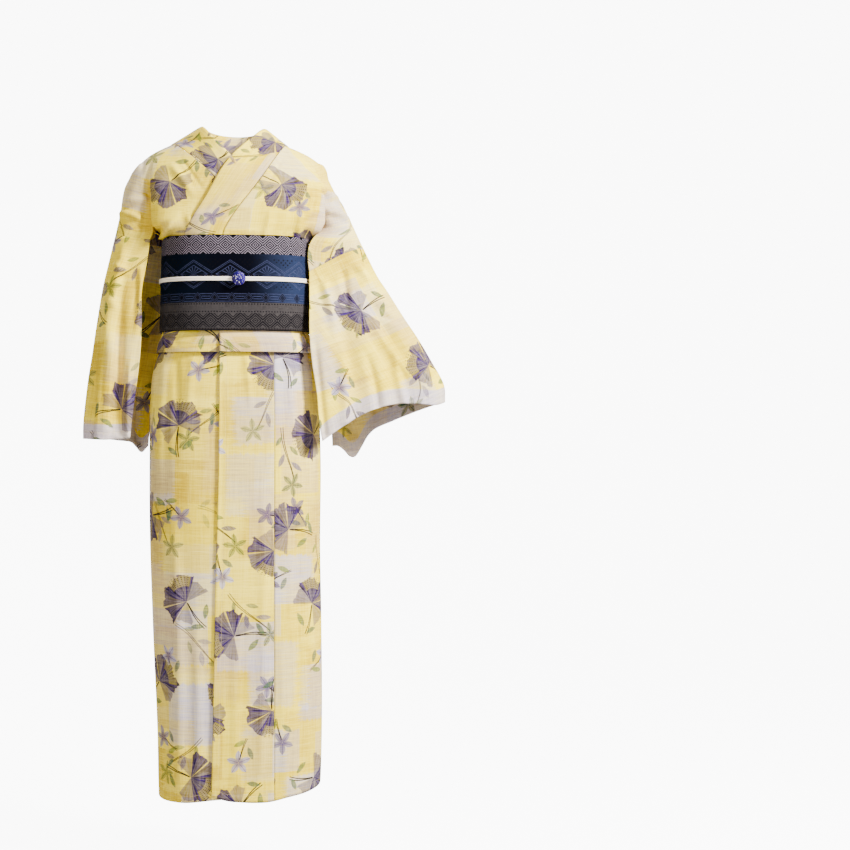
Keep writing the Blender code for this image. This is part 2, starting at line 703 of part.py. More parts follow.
def cloth(name, blocks, material, wall=WALL, ring=False, tuck=False):
    """A closed wall of even thickness on the middle surface that the grids describe."""
    points, quads = quads_of(blocks, ring)
    normals = np.zeros_like(points)
    for a, b, c, d in quads:
        normal = np.cross(points[c] - points[a], points[d] - points[b])
        for corner in (a, b, c, d):
            normals[corner] += normal
    normals /= np.linalg.norm(normals, axis=1, keepdims=True)
    half = np.full((len(points), 1), wall / 2)
    if tuck:
        doubled = smooth_step(0.350, 0.366, -points[:, 2])[:, None]
        half = half + doubled * (TUCK_WALL - wall) / 2
    outer = points + normals * half
    inner = points - normals * half
    count = len(points)
    faces = list(quads)
    faces += [tuple(corner + count for corner in reversed(quad)) for quad in quads]
    edges = {}
    for quad in quads:
        for k in range(4):
            start, end = quad[k], quad[(k + 1) % 4]
            if (end, start) in edges:
                del edges[(end, start)]
            else:
                edges[(start, end)] = True
    faces += [(end, start, start + count, end + count) for start, end in edges]
    return add_object(name, np.vstack([outer, inner]), faces, material)


def cord_loop(name, material):
    """The flat belt cord: a rounded strap section carried once round the belt."""
    columns = CORD_COLUMNS
    middle = belt_ring(CORD_LEVEL, BELT_WALL / 2 + SEAM_GAP + CORD_THICKNESS / 2, columns)
    before = np.roll(middle, 1, axis=0)
    after = np.roll(middle, -1, axis=0)
    tangent = after - before
    outward = np.column_stack([-tangent[:, 1], tangent[:, 0], np.zeros(columns)])
    outward /= -np.linalg.norm(outward, axis=1, keepdims=True)
    outward *= np.sign(np.sum(outward[:, :2] * middle[:, :2], axis=1))[:, None]
    half_width, half_depth = CORD_WIDTH / 2, CORD_THICKNESS / 2
    rows = [middle + outward * depth * half_depth + np.array([0, 0, height * half_width])
            for height, depth in CORD_SECTION]
    points = np.concatenate(rows)
    faces = []
    for k in range(len(CORD_SECTION)):
        for j in range(columns):
            near, far = k * columns, ((k + 1) % len(CORD_SECTION)) * columns
            step = (j + 1) % columns
            faces.append((near + j, near + step, far + step, far + j))
    return add_object(name, points, faces, material)


def bead(name, material):
    """A domed bead with a flat back, seated on the front of the cord."""
    seat = belt_ring(CORD_LEVEL, BELT_WALL / 2 + 2 * SEAM_GAP + CORD_THICKNESS, 8 * BELT_COLUMNS)
    back_y = seat[:, 1].min()
    columns, rows = BEAD_COLUMNS, BEAD_ROWS
    points = [(BEAD_X, back_y, CORD_LEVEL)]
    for i in range(rows):
        rise = i / rows * np.pi / 2
        for j in range(columns):
            angle = 2 * np.pi * j / columns
            radius = BEAD_RADIUS * np.cos(rise)
            points.append((BEAD_X + radius * np.cos(angle), back_y - BEAD_DEPTH * np.sin(rise),
                           CORD_LEVEL + radius * np.sin(angle)))
    points.append((BEAD_X, back_y - BEAD_DEPTH, CORD_LEVEL))
    last = len(points) - 1
    faces = []
    for j in range(columns):
        step = (j + 1) % columns
        faces.append((0, 1 + step, 1 + j))
        for i in range(rows - 1):
            near, far = 1 + i * columns, 1 + (i + 1) * columns
            faces.append((near + j, near + step, far + step, far + j))
        top = 1 + (rows - 1) * columns
        faces.append((top + j, top + step, last))
    return add_object(name, points, faces, material)


def knot_panel(name, material):
    """The belt's end folded into a flat card that lies across the back."""
    columns, rows = 12, 5
    across = np.linspace(-1, 1, columns + 1)
    grid = np.zeros((rows + 1, columns + 1, 3))
    for i, level in enumerate(np.linspace(KNOT_TOP, KNOT_BOTTOM, rows + 1)):
        clear = BELT_WALL / 2 + SEAM_GAP * 2 + CORD_THICKNESS + KNOT_WALL / 2 + KNOT_EASE
        belt = belt_ring(level, clear, RING_COLUMNS)
        rear = belt[belt[:, 1] > 0]
        order = np.argsort(rear[:, 0])
        x = across * KNOT_HALF_WIDTH
        y = np.interp(x, rear[order, 0], rear[order, 1])
        flat = rear[:, 1].max()
        y = 0.35 * y + 0.65 * np.maximum(y, flat - 0.004)
        grid[i] = np.column_stack([x, y, np.full(columns + 1, level)])
    return cloth(name, [grid], material, wall=KNOT_WALL)


def knot_band(name, material):
    """The belt's other end, folded narrow and passed down over the card."""
    rear = belt_ring(CORD_LEVEL, 0.0, RING_COLUMNS)[:, 1].max()
    near = rear + BELT_WALL + SEAM_GAP + KNOT_EASE
    card_face = rear + BELT_WALL / 2 + SEAM_GAP * 2 + CORD_THICKNESS + KNOT_WALL + KNOT_EASE
    far = card_face + SEAM_GAP + BELT_WALL / 2
    path = np.array([(near + (far - near) * share, level) for share, level in BAND_PATH])
    columns = 4
    grid = np.zeros((len(path), columns + 1, 3))
    for j, x in enumerate(np.linspace(-KNOT_BAND_HALF, KNOT_BAND_HALF, columns + 1)):
        bow = BAND_BOW * (1 - (x / KNOT_BAND_HALF) ** 2)
        grid[:, j] = np.column_stack([np.full(len(path), x), path[:, 0] + bow, path[:, 1]])
    return cloth(name, [grid], material, wall=BELT_WALL)


def clear_scene():
    """Removes whatever the scene holds."""
    for item in list(bpy.data.objects):
        bpy.data.objects.remove(item, do_unlink=True)


def build():
    """Makes every piece of the garment."""
    clear_scene()
    cotton = new_material("yellow_cotton", YELLOW_COTTON)
    weave = new_material("navy_weave", NAVY_WEAVE)
    braid = new_material("ivory_braid", IVORY_BRAID)
    glass = new_material("violet_glass", VIOLET_GLASS)
    left = Side(1, OUTLINE_LEFT, NECK_SEAM_LEFT, NECK_EDGE_LEFT, SLEEVE_LEFT, LAYER)
    right = Side(-1, OUTLINE_RIGHT, NECK_SEAM_RIGHT, NECK_EDGE_RIGHT, SLEEVE_RIGHT, 0.0)
    bodices = {"left": bodice_blocks(left), "right": bodice_blocks(right)}
    for side, word in ((left, "left"), (right, "right")):
        blocks = [side.finish(block) for block in bodices[word]]
        cloth(f"body_panel_{word}", blocks, cotton, tuck=True)
        grid = side.finish(sleeve_grid(side, SLEEVE_ROWS, ARM_COLUMNS))
        cloth(f"sleeve_{word}", [grid], cotton)
    collar = collar_grid(left, bodices["left"], right, bodices["right"])
    cloth("collar", [collar], cotton, wall=COLLAR_WALL)
    panels = (
        ("skirt_back_left", 1, side_seam, centre_back, 8, 0.0, False),
        ("skirt_back_right", -1, side_seam, centre_back, 8, 0.0, False),
        ("skirt_front_left", 1, over_seam_front, side_seam, 7, SKIRT_LAYER, True),
        ("overlap_left", 1, over_edge, over_seam, 7, SKIRT_LAYER, True),
        ("skirt_front_right", -1, under_seam, side_seam, 8, 0.0, True),
        ("overlap_right", -1, under_edge, under_seam_panel, 6, 0.0, True),
    )
    for name, sign, start, end, columns, lift, forward in panels:
        cloth(name, [skirt_panel(sign, start, end, SKIRT_ROWS, columns, lift, forward)], cotton)
    levels = np.linspace(BELT_TOP, BELT_BOTTOM, BELT_ROWS + 1)
    belt = np.stack([belt_ring(level, 0.0, BELT_COLUMNS) for level in levels])
    cloth("belt", [belt], weave, wall=BELT_WALL, ring=True)
    knot_panel("belt_knot_card", weave)
    knot_band("belt_knot_band", weave)
    cord_loop("belt_cord", braid)
    bead("bead", glass)


build()
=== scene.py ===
"""Dressed model of a woman's cotton yukata in its worn form, with its belt, belt cord and bead.

Frame: metres, +Z up, -Y to the front, +X to the wearer's left, origin level with the shoulders. Each sheet
of cloth is a surface worked out on a grid of two parameters, with its main folds listed, and a thin
wall.
"""

from __future__ import annotations

import logging
import math
from dataclasses import dataclass, replace
from enum import Enum

import bpy
import numpy as np
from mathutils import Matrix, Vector

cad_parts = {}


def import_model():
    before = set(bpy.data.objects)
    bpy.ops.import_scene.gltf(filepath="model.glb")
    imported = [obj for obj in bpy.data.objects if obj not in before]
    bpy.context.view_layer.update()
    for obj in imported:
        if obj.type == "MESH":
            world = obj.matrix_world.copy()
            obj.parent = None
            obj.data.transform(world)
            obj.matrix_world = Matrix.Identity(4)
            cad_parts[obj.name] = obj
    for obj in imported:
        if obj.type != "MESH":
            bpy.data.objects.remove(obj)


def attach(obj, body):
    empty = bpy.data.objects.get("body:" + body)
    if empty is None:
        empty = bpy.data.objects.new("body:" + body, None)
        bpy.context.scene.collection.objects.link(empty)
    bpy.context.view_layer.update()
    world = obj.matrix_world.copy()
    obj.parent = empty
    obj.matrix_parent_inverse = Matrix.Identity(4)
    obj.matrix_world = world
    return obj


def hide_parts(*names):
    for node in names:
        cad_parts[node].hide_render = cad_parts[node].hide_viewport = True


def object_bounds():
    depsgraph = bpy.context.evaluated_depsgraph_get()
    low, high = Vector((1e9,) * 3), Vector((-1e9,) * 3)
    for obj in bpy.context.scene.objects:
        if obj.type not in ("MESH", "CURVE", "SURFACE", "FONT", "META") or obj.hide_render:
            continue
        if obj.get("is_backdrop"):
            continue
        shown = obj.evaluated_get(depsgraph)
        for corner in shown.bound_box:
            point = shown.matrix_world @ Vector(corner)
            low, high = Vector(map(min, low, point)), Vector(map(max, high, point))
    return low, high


Array = np.ndarray
Values = np.ndarray | float
Material = bpy.types.Material
Node = bpy.types.Node
Piece = bpy.types.Object
Socket = bpy.types.NodeSocket
Tree = bpy.types.NodeTree
Pair = tuple[float, float]
Three = tuple[Socket, Socket, Socket]
Triple = tuple[float, float, float]
LOG = logging.getLogger("yukata")
ROOT = "root"
MILLIMETRE = 0.001
COTTON_WALL = 0.0012
SEAM = -1.0


# ==== Surfaces ====


def cubic(t: Array, start: Array, end: Array, leaving: Array, arriving: Array) -> Array:
    """Cubic from start to end, as t runs from 0 to 1, with given slopes at both."""
    first = (2 * t**3 - 3 * t**2 + 1) * start + (t**3 - 2 * t**2 + t) * leaving
    return first + (3 * t**2 - 2 * t**3) * end + (t**3 - t**2) * arriving


def curve(x: Values, table: Array, column: int) -> Array:
    """Smooth curve through one column of a table: a Hermite cubic with averaged slopes.

    Args:
        x: Places along the table's first column.
        table: Rows of a key, which rises, and its values.
        column: The column of values.

    Returns:
        The curve's values at x.
    """
    keys = table[:, 0]
    values = table[:, column]
    slopes = np.gradient(values, keys)
    x = np.clip(x, keys[0], keys[-1])
    i = np.clip(np.searchsorted(keys, x, side="right") - 1, 0, len(keys) - 2)
    step = keys[i + 1] - keys[i]
    t = (x - keys[i]) / step
    return cubic(t, values[i], values[i + 1], step * slopes[i], step * slopes[i + 1])


def along(points: tuple, share: Values) -> Array:
    """Points at given shares of the way along a smooth curve through a few points."""
    rows = np.asarray(points, float)
    table = np.column_stack([evenly(len(rows) - 1), rows])
    return np.stack([curve(share, table, k + 1) for k in range(rows.shape[1])], axis=-1)


def ease(low: float, high: float, value: Values) -> Array:
    """0 below low, 1 above high, with an even turn between."""
    t = np.clip((value - low) / (high - low), 0.0, 1.0)
    return t * t * (3 - 2 * t)


def run(grid: Array, axis: int) -> Array:
    """Length of the way to each point of a grid along one axis."""
    steps = np.linalg.norm(np.diff(grid, axis=axis), axis=2)
    start = np.zeros_like(np.take(grid[..., 0], [0], axis=axis))
    return np.concatenate([start, np.cumsum(steps, axis=axis)], axis=axis)


def evenly(steps: int) -> Array:
    """Shares from 0 to 1 in even steps."""
    return np.linspace(0, 1, steps + 1)


def spaced(places: tuple[float, ...], steps: tuple[int, ...]) -> Array:
    """Places on a line, with a number of even steps from each given one to the next."""
    runs = [np.linspace(a, b, n + 1)[1:] for a, b, n in zip(places, places[1:], steps)]
    return np.concatenate([places[:1], *runs])


def stacked(*values: Values) -> Array:
    """Points from their coordinates, each spread to the shape of the largest."""
    return np.stack(np.broadcast_arrays(*values), axis=-1)


def line_run(points: Array) -> Array:
    """Length of the way to each point of a line."""
    return run(points[:, None], 0)[:, 0]


def resample(points: Array, shares: Array) -> Array:
    """Points at given shares of a line's length."""
    length = line_run(points)
    wanted = np.asarray(shares) * length[-1]
    return np.stack([np.interp(wanted, length, points[:, k]) for k in range(points.shape[1])], axis=-1)


# The power of the squarish ovals round the body; 2 would be an ellipse
SQUARENESS = 2.6


def rounded(x: Array, half_width: Values) -> Array:
    """Share of the full depth left at a distance x from the centre of a squarish oval."""
    return np.clip(1 - np.abs(x / half_width) ** SQUARENESS, 0.0, 1.0) ** (1 / SQUARENESS)


def oval(turn: Array, half_width: Array, front: Array, back: Array) -> tuple[Array, Array]:
    """x and y on a squarish oval: signed powers of the sine and cosine of the turn.

    Args:
        turn: 0 at the front, 0.5 at the side, 1 at the back.
        half_width: Half of the oval's width.
        front: Depth to the front.
        back: Depth to the back.

    Returns:
        x, and y with the front below 0.
    """
    sine, cosine = np.sin(np.pi * turn), np.cos(np.pi * turn)
    x = half_width * np.sign(sine) * np.abs(sine) ** (2 / SQUARENESS)
    depth = np.where(cosine > 0, front, back)
    return x, -depth * np.sign(cosine) * np.abs(cosine) ** (2 / SQUARENESS)


def turn_at(x: Values, half_width: Values) -> Array:
    """The front turn at which an oval reaches the distance x."""
    share = np.clip(x / half_width, -1.0, 1.0)
    return np.arcsin(np.sign(share) * np.abs(share) ** (SQUARENESS / 2)) / np.pi


def refine_rows(grid: Array, parts: int) -> Array:
    """Splits each step between rows by a cubic through its neighbours (Catmull-Rom).

    Args:
        grid: Rows of columns of points.
        parts: Steps that replace each step.

    Returns:
        The finer grid.
    """
    slopes = np.empty_like(grid)
    slopes[1:-1] = (grid[2:] - grid[:-2]) / 2
    slopes[0] = grid[1] - grid[0]
    slopes[-1] = grid[-1] - grid[-2]
    place = np.linspace(0, len(grid) - 1, (len(grid) - 1) * parts + 1)
    i = np.minimum(place.astype(int), len(grid) - 2)
    t = (place - i).reshape(-1, *([1] * (grid.ndim - 1)))
    return cubic(t, grid[i], grid[i + 1], slopes[i], slopes[i + 1])


def refine(grid: Array, rows: int, columns: int) -> Array:
    """Splits the steps of a grid both ways."""
    return np.swapaxes(refine_rows(np.swapaxes(refine_rows(grid, rows), 0, 1), columns), 0, 1)


def soften(grid: Array, reach: int, axis: int) -> Array:
    """Evens out kinks along one axis with a bell-shaped mean, and keeps the ends in place.

    Args:
        grid: The grid of points.
        reach: Points on each side that the mean takes in.
        axis: 0 smooths down the columns, 1 along the rows.

    Returns:
        The smoothed grid.
    """
    lines = np.moveaxis(grid, axis, 0)
    kernel = np.hanning(2 * reach + 3)[1:-1]
    kernel /= kernel.sum()
    head = 2 * lines[:1] - lines[reach:0:-1]
    tail = 2 * lines[-1:] - lines[-2:-reach - 2:-1]
    padded = np.concatenate([head, lines, tail])
    size = len(lines)
    evened = sum(weight * padded[k:k + size] for k, weight in enumerate(kernel))
    return np.moveaxis(evened, 0, axis)


def normals_of(grid: Array) -> Array:
    """Unit normals of a grid surface: the cross product of its two central differences."""
    down = np.gradient(grid, axis=0)
    across = np.gradient(grid, axis=1)
    normal = np.cross(across, down)
    return normal / np.maximum(np.linalg.norm(normal, axis=-1, keepdims=True), 1e-12)


def lengths(grid: Array) -> Array:
    """Cloth coordinates in metres: across from the middle column, down from the first row."""
    across = run(grid, 1)
    return np.stack([across - across[:, across.shape[1] // 2][:, None], run(grid, 0)], axis=-1)


def edge_distances(grid: Array) -> Array:
    """Distances in metres from the first column along the rows, and from the last row up the columns."""
    return np.stack([run(grid, 1), run(grid[::-1], 0)[::-1]], axis=-1)


@dataclass(frozen=True)
class Fold:
    """One soft fold, drawn as a bowed line on a panel, in millimetres of the panel's two coordinates.

    It runs from x0, z0 to x1, z1 with its middle bow off the straight line, and stands height out, or in
    where that is below 0. It dies away width from its line, and over the shares rise and fall of its length
    at the ends.
    """

    x0: float
    z0: float
    x1: float
    z1: float
    height: float
    width: float
    bow: float
    rise: float
    fall: float

    def relief(self, x: Array, z: Array) -> Array:
        """Height of the fold at each place: a bell across its line, less a third of a wider bell.

        Args:
            x: First coordinate of each place.
            z: Second coordinate.

        Returns:
            The height that it adds.
        """
        a, b = np.array([self.x0, self.z0]), np.array([self.x1, self.z1])
        length = float(np.hypot(*(b - a)))
        unit = (b - a) / length
        x, z = x / MILLIMETRE - a[0], z / MILLIMETRE - a[1]
        place = (x * unit[0] + z * unit[1]) / length
        t = np.clip(place, 0.0, 1.0)
        off = z * unit[0] - x * unit[1] - self.bow * 4 * t * (1 - t)
        share = (off**2 + ((place - t) * length) ** 2) / self.width**2
        bell = np.exp(-2.2 * share) - 0.35 * np.exp(-0.7 * share)
        ends = ease(0.0, self.rise, t) * (1 - ease(1 - self.fall, 1.0, t))
        return self.height * MILLIMETRE * bell * ends


def folds(*rows: tuple[float, ...]) -> tuple[Fold, ...]:
    """Folds from rows of x0, z0, x1, z1, height, width, bow, rise and fall."""
    return tuple(Fold(*row) for row in rows)


def relief_of(drawn: tuple[Fold, ...], x: Array, z: Array) -> Array:
    """Heights of several folds together."""
    return sum((fold.relief(x, z) for fold in drawn), np.zeros(np.broadcast(x, z).shape))


@dataclass
class Patch:
    """A grid of points with its cloth coordinates."""

    points: Array
    cloth: Array

    def moved(self, height: Array) -> Patch:
        """The patch with its points moved out along their normals."""
        return replace(self, points=self.points + normals_of(self.points) * height[..., None])


@dataclass(frozen=True)
class Cut:
    """What a sheet's parts that show were cut to, how it hangs and on what; area where it isn't flat's."""

    flat: Pair
    held: str
    rests_on: tuple[str, ...]
    area: float | None = None


def weld(patches: list[Patch]) -> tuple[Array, Array, Array]:
    """Joins patches at the points that they share.

    Args:
        patches: Grids, whose edges meet.

    Returns:
        Points, four-sided faces, and for each face's corners the cloth coordinates and the distances from the
        first side and from the foot.
    """
    points, quads, cloth = [], [], []
    first = 0
    for patch in patches:
        rows, columns = patch.points.shape[:2]
        index = first + np.arange(rows * columns).reshape(rows, columns)
        corners = np.stack([index[:-1, :-1], index[1:, :-1], index[1:, 1:], index[:-1, 1:]], axis=-1)
        quads.append(corners.reshape(-1, 4))
        points.append(patch.points.reshape(-1, 3))
        cloth.append(np.concatenate([patch.cloth, edge_distances(patch.points)], axis=2).reshape(-1, 4))
        first += rows * columns
    every = np.concatenate(points)
    faces = np.concatenate(quads)
    corner_cloth = np.concatenate(cloth)[faces]
    _, kept, where = np.unique(np.round(every, 6), axis=0, return_index=True, return_inverse=True)
    return every[kept], where.reshape(-1)[faces], corner_cloth


def place_object(name: str, data: bpy.types.ID) -> Piece:
    """Puts an object into the scene, at the origin."""
    placed = bpy.data.objects.new(name, data)
    bpy.context.scene.collection.objects.link(placed)
    return placed


def mesh_object(name: str, points: Array, faces: Array, cloth: Array | None = None) -> Piece:
    """Makes a smooth mesh object, at the origin, from whole arrays.

    Args:
        name: The piece's name.
        points: Its points.
        faces: Its faces, as rows of four point numbers; a triangle repeats one.
        cloth: Cloth coordinates and edge distances of each face's corners.

    Returns:
        The object.
    """
    mesh = bpy.data.meshes.new(name)
    mesh.from_pydata(points.tolist(), [], [list(dict.fromkeys(face)) for face in faces.tolist()])
    if cloth is not None:
        for word, values in (("cloth", cloth[..., :2]), ("edges", cloth[..., 2:])):
            mesh.uv_layers.new(name=word).data.foreach_set("uv", values.reshape(-1).astype(np.float32))
    mesh.shade_smooth()
    mesh.update()
    return place_object(name, mesh)


def make_piece(name: str, patches: list[Patch], material: Material, node: str,
               wall: float = 0.0, mapped: bool = True) -> Piece:
    """Makes one piece of the garment from its patches.

    Args:
        name: The piece's name.
        patches: The grids that make its surface.
        material: Its finish.
        node: The solid that it stands for.
        wall: The wall that the surface is given, half on each side, or 0 where it is closed.
        mapped: Whether it keeps its cloth coordinates.

    Returns:
        The piece.
    """
    points, faces, cloth = weld(patches)
    piece = mesh_object(name, points, faces, cloth if mapped else None)
    if wall:
        shell = piece.modifiers.new("wall", "SOLIDIFY")
        shell.thickness = wall
        shell.offset = 0.0
        shell.use_even_offset = False
        shell.use_quality_normals = True
    piece.data.materials.append(material)
    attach(piece, ROOT)
    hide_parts(node)
    LOG.info("%s: %d points", name, len(points))
    return piece


# ==== The worn form ====


@dataclass(frozen=True)
class Levels:
    """Heights that several pieces share, below the shoulders, and the cloth's layers."""

    belt_top: float = -0.179
    belt_bottom: float = -0.356
    cord: float = -0.2605
    skirt_top: float = -0.335
    nape_seam: float = -0.024
    hem: float = -1.225
    over_lift: float = 0.0052
    skirt_lift: float = 0.0036
    bodice: tuple[float, ...] = (0.004, 0.013, 0.024, 0.038, 0.056, 0.08, 0.107, 0.134, 0.16)
    waist: tuple[float, ...] = (-0.1765, -0.215, -0.275, -0.345, -0.362, -0.38, -0.395)


LEVELS = Levels()

# Padded figure: level, half width, depth to the front, depth to the back
FIGURE = np.array([
    (-0.395, 0.1485, 0.104, 0.099),
    (-0.376, 0.146, 0.102, 0.097),
    (-0.357, 0.1375, 0.0965, 0.0925),
    (-0.33, 0.137, 0.0965, 0.092),
    (-0.27, 0.135, 0.096, 0.091),
    (-0.2, 0.1325, 0.095, 0.089),
    (-0.17, 0.1335, 0.095, 0.089),
    (0.06, 0.15, 0.08, 0.08),
])


@dataclass(frozen=True)
class SleeveForm:
    """How one sleeve hangs.

    The outer line from armhole to wrist is distance out and level; the inner edges of front and back add the
    distance forward. The roll over the arm is a radius and a distance forward. The swells move the cloth
    under the arm, the mouth rises by mouth_lift in front, and the back's lower corner hangs by tail_drop.
    """

    outer: tuple[Pair, ...]
    front: tuple[Triple, ...]
    back: tuple[Triple, ...]
    roll: tuple[Pair, ...]
    pit_swell: Triple
    rear_swell: Triple
    mouth_lift: float
    tail_drop: float
    roll_turn: float = 96.0
    tail_place: float = 0.945
    tail_spread: float = 0.045
    fold_front: float = 0.0045
    fold_rear: float = 0.005
    folds_front: float = 5.2
    folds_rear: float = 4.6


@dataclass(frozen=True)
class Columns:
    """Steps across each part of the upper body, and the points of a whole section."""

    chest: int = 7
    pit: int = 3
    arm: int = 22
    blade: int = 2
    back: int = 5
    section: int = 240


COLUMNS = Columns()


@dataclass(frozen=True)
class Side:
    """One half of the upper body, in its own coordinates with x outwards; sign is 1 on the wearer's left.

    The outline of shoulder and arm is distance out and level; the neck's seam and edge are level and
    distance out. This front stands lift off the other one, and the fold before the armpit lies at crest.
    """

    sign: int
    outline: Array
    neck_seam: Array
    neck_edge: Array
    sleeve: SleeveForm
    lift: float
    crest: float
    half_width: float = 0.195
    crest_depth: float = 0.92
    crest_ease: float = 0.004
    arm_turn: float = 112.0
    dome_chest: float = 0.66
    dome_pit: float = 0.74
    dome_rear_arm: float = 0.27
    dome_blade: float = 0.36
    chest_fall: float = 0.05
    chest_depths: Triple = (0.095, 0.093, 0.086)
    back_fall: float = 0.06
    back_depths: Triple = (0.09, 0.093, 0.09)

    def ridge(self, x: Values) -> Array:
        """Level of the shoulder line at a distance from the centre."""
        return curve(np.abs(x), self.outline, 1)

    def reach(self, level: float) -> float:
        """How far out the shoulder or arm reaches at a level."""
        return float(np.interp(level, self.outline[::-1, 1], self.outline[::-1, 0]))

    def depth(self, x: Array, level: Values, fall: float, depths: Triple) -> Array:
        """Depth of the chest or back: it rounds down from the shoulder line and towards the arm."""
        drop = np.clip(self.ridge(x) - level, 0.0, None) / fall
        full = np.interp(level, (-0.18, -0.1, 0.05), depths)
        return full * np.sqrt(1 - np.exp(-drop)) * rounded(x, self.half_width)

    def front(self, x: Array, level: Values) -> Array:
        """y of the chest."""
        return -self.depth(x, level, self.chest_fall, self.chest_depths)

    def back(self, x: Array, level: Values) -> Array:
        """y of the back."""
        return self.depth(x, level, self.back_fall, self.back_depths)

    def over(self, x: Array, level: Values) -> Array:
        """How far the left front stands off the right one that it covers."""
        return self.lift * (1 - ease(0.095, 0.14, x)) * (1 - ease(-0.075, -0.02, level))

    def dome(self, level: float) -> tuple[Array, Array]:
        """Section over shoulder and arm as one rounded form, front and back."""
        start = float(curve(level, self.neck_seam, 1))
        end = self.outline[2, 0] * float(ease(LEVELS.nape_seam, 0.0, level))
        reach = self.reach(level)
        turn = 0.5 - 0.5 * np.cos(np.linspace(0, np.pi, COLUMNS.section))
        x_front = start + (reach - start) * turn
        x_back = reach + (end - reach) * turn
        return stacked(x_front, self.front(x_front, level)), stacked(x_back, self.back(x_back, level))

    def bodice_row(self, level: float) -> Array:
        """Points across the cloth at one level above the armhole's foot."""
        front, back = self.dome(level)
        half_arm = COLUMNS.arm // 2
        dome = np.vstack([
            resample(front, spaced((0, self.dome_chest, self.dome_pit, 1),
                                   (COLUMNS.chest, COLUMNS.pit, half_arm))),
            resample(back, spaced((0, self.dome_rear_arm, self.dome_blade, 1),
                                  (half_arm, COLUMNS.blade, COLUMNS.back))[1:]),
        ])
        share = ease(0.03, 0.105, -level)
        row = dome * (1 - share) + self.creased_row(level, front, back) * share
        row[:, 1] -= np.where(np.arange(len(row)) <= COLUMNS.chest, self.over(row[:, 0], level), 0.0)
        return stacked(row[:, 0], row[:, 1], level)

    def creased_row(self, level: float, front: Array, back: Array) -> Array:
        """Chest, the fold before the armpit, the roll round the arm, and the back."""
        radius, forward = self.sleeve.roll[0]
        centre_x, centre_y = self.reach(level) - radius, -forward
        chest = front[front[:, 0] < self.crest]
        crest = np.array([self.crest, self.front(self.crest, level) * self.crest_depth])
        chest = resample(np.vstack([chest, crest]), evenly(COLUMNS.chest))
        valley_x = min(centre_x - 0.3 * radius, self.crest - self.crest_ease)
        valley = np.array([valley_x, centre_y - 0.78 * radius])
        shares = evenly(COLUMNS.pit)[1:]
        fold = crest + (valley - crest) * shares[:, None]
        fold[:, 0] -= self.crest_ease * np.sin(np.pi * shares)
        turn = np.radians(np.linspace(self.arm_turn, -self.arm_turn, COLUMNS.arm + 1)[1:])
        arm = stacked(centre_x + radius * np.cos(turn), centre_y - radius * np.sin(turn))
        arm[0] = 0.5 * (arm[0] + valley)
        blade_x = self.crest - 1.5 * self.crest_ease
        blade = np.array([blade_x, self.back(blade_x, level) * self.crest_depth])
        hollow = arm[-1] + (blade - arm[-1]) * evenly(COLUMNS.blade)[1:, None]
        rear = np.vstack([blade, back[back[:, 0] < blade_x - self.crest_ease]])
        rear = resample(rear, evenly(COLUMNS.back))[1:]
        return np.vstack([chest, fold, arm, hollow, rear])

    def sleeve_ring(self, share: float, columns: int) -> Array:
        """One ring of the sleeve: in along the front, round the roll over the arm, and in along the back."""
        outer = along(self.sleeve.outer, share)
        inner_front = along(self.sleeve.front, share)
        inner_back = along(self.sleeve.back, share)
        radius, forward = along(self.sleeve.roll, share)
        middle = 0.5 * (inner_front[:2] + inner_back[:2])
        inward = (middle - outer) / np.linalg.norm(middle - outer)
        centre = outer + radius * inward
        turn = np.radians(np.linspace(self.sleeve.roll_turn, -self.sleeve.roll_turn, 60))
        out, level = (centre - radius * np.cos(turn)[:, None] * inward).T
        arc = stacked(out, -forward - radius * np.sin(turn), level)
        first, last = np.array([inner_front, inner_back])[:, [0, 2, 1]] * (1, -1, 1)
        ring = resample(np.vstack([first, arc, last]), evenly(8 * columns))
        ring = soften(ring, columns // 2, 0)
        return resample(ring, evenly(columns))

    def sleeve_grid(self, rows: int, columns: int) -> Array:
        """The whole sleeve: rings from the armhole to the wrist, with folds and a hanging tail."""
        down = evenly(rows)[:, None]
        place = evenly(columns)
        grid = np.stack([self.sleeve_ring(float(share), columns) for share in down[:, 0]])
        form = self.sleeve
        mouth = np.sin(np.pi * np.clip(place / 0.44, 0, 1)) * form.mouth_lift
        grid[:, :, 2] += mouth * ease(0.55, 1.0, down)
        tail = np.exp(-((place - form.tail_place) / form.tail_spread) ** 2) * form.tail_drop
        grid[:, :, 2] -= tail * ease(0.6, 1.0, down)
        front = np.sin(np.pi * np.clip(place / 0.46, 0, 1)) ** 0.7
        rear = np.sin(np.pi * np.clip((place - 0.54) / 0.46, 0, 1)) ** 0.7
        waves = form.fold_front * np.cos(2 * np.pi * (place * form.folds_front + 0.35 * down)) * front
        waves = waves + form.fold_rear * np.cos(2 * np.pi * (place * form.folds_rear - 0.3 * down)) * rear
        grid[:, :, 1] += waves * ease(0.05, 0.5, down)
        return grid

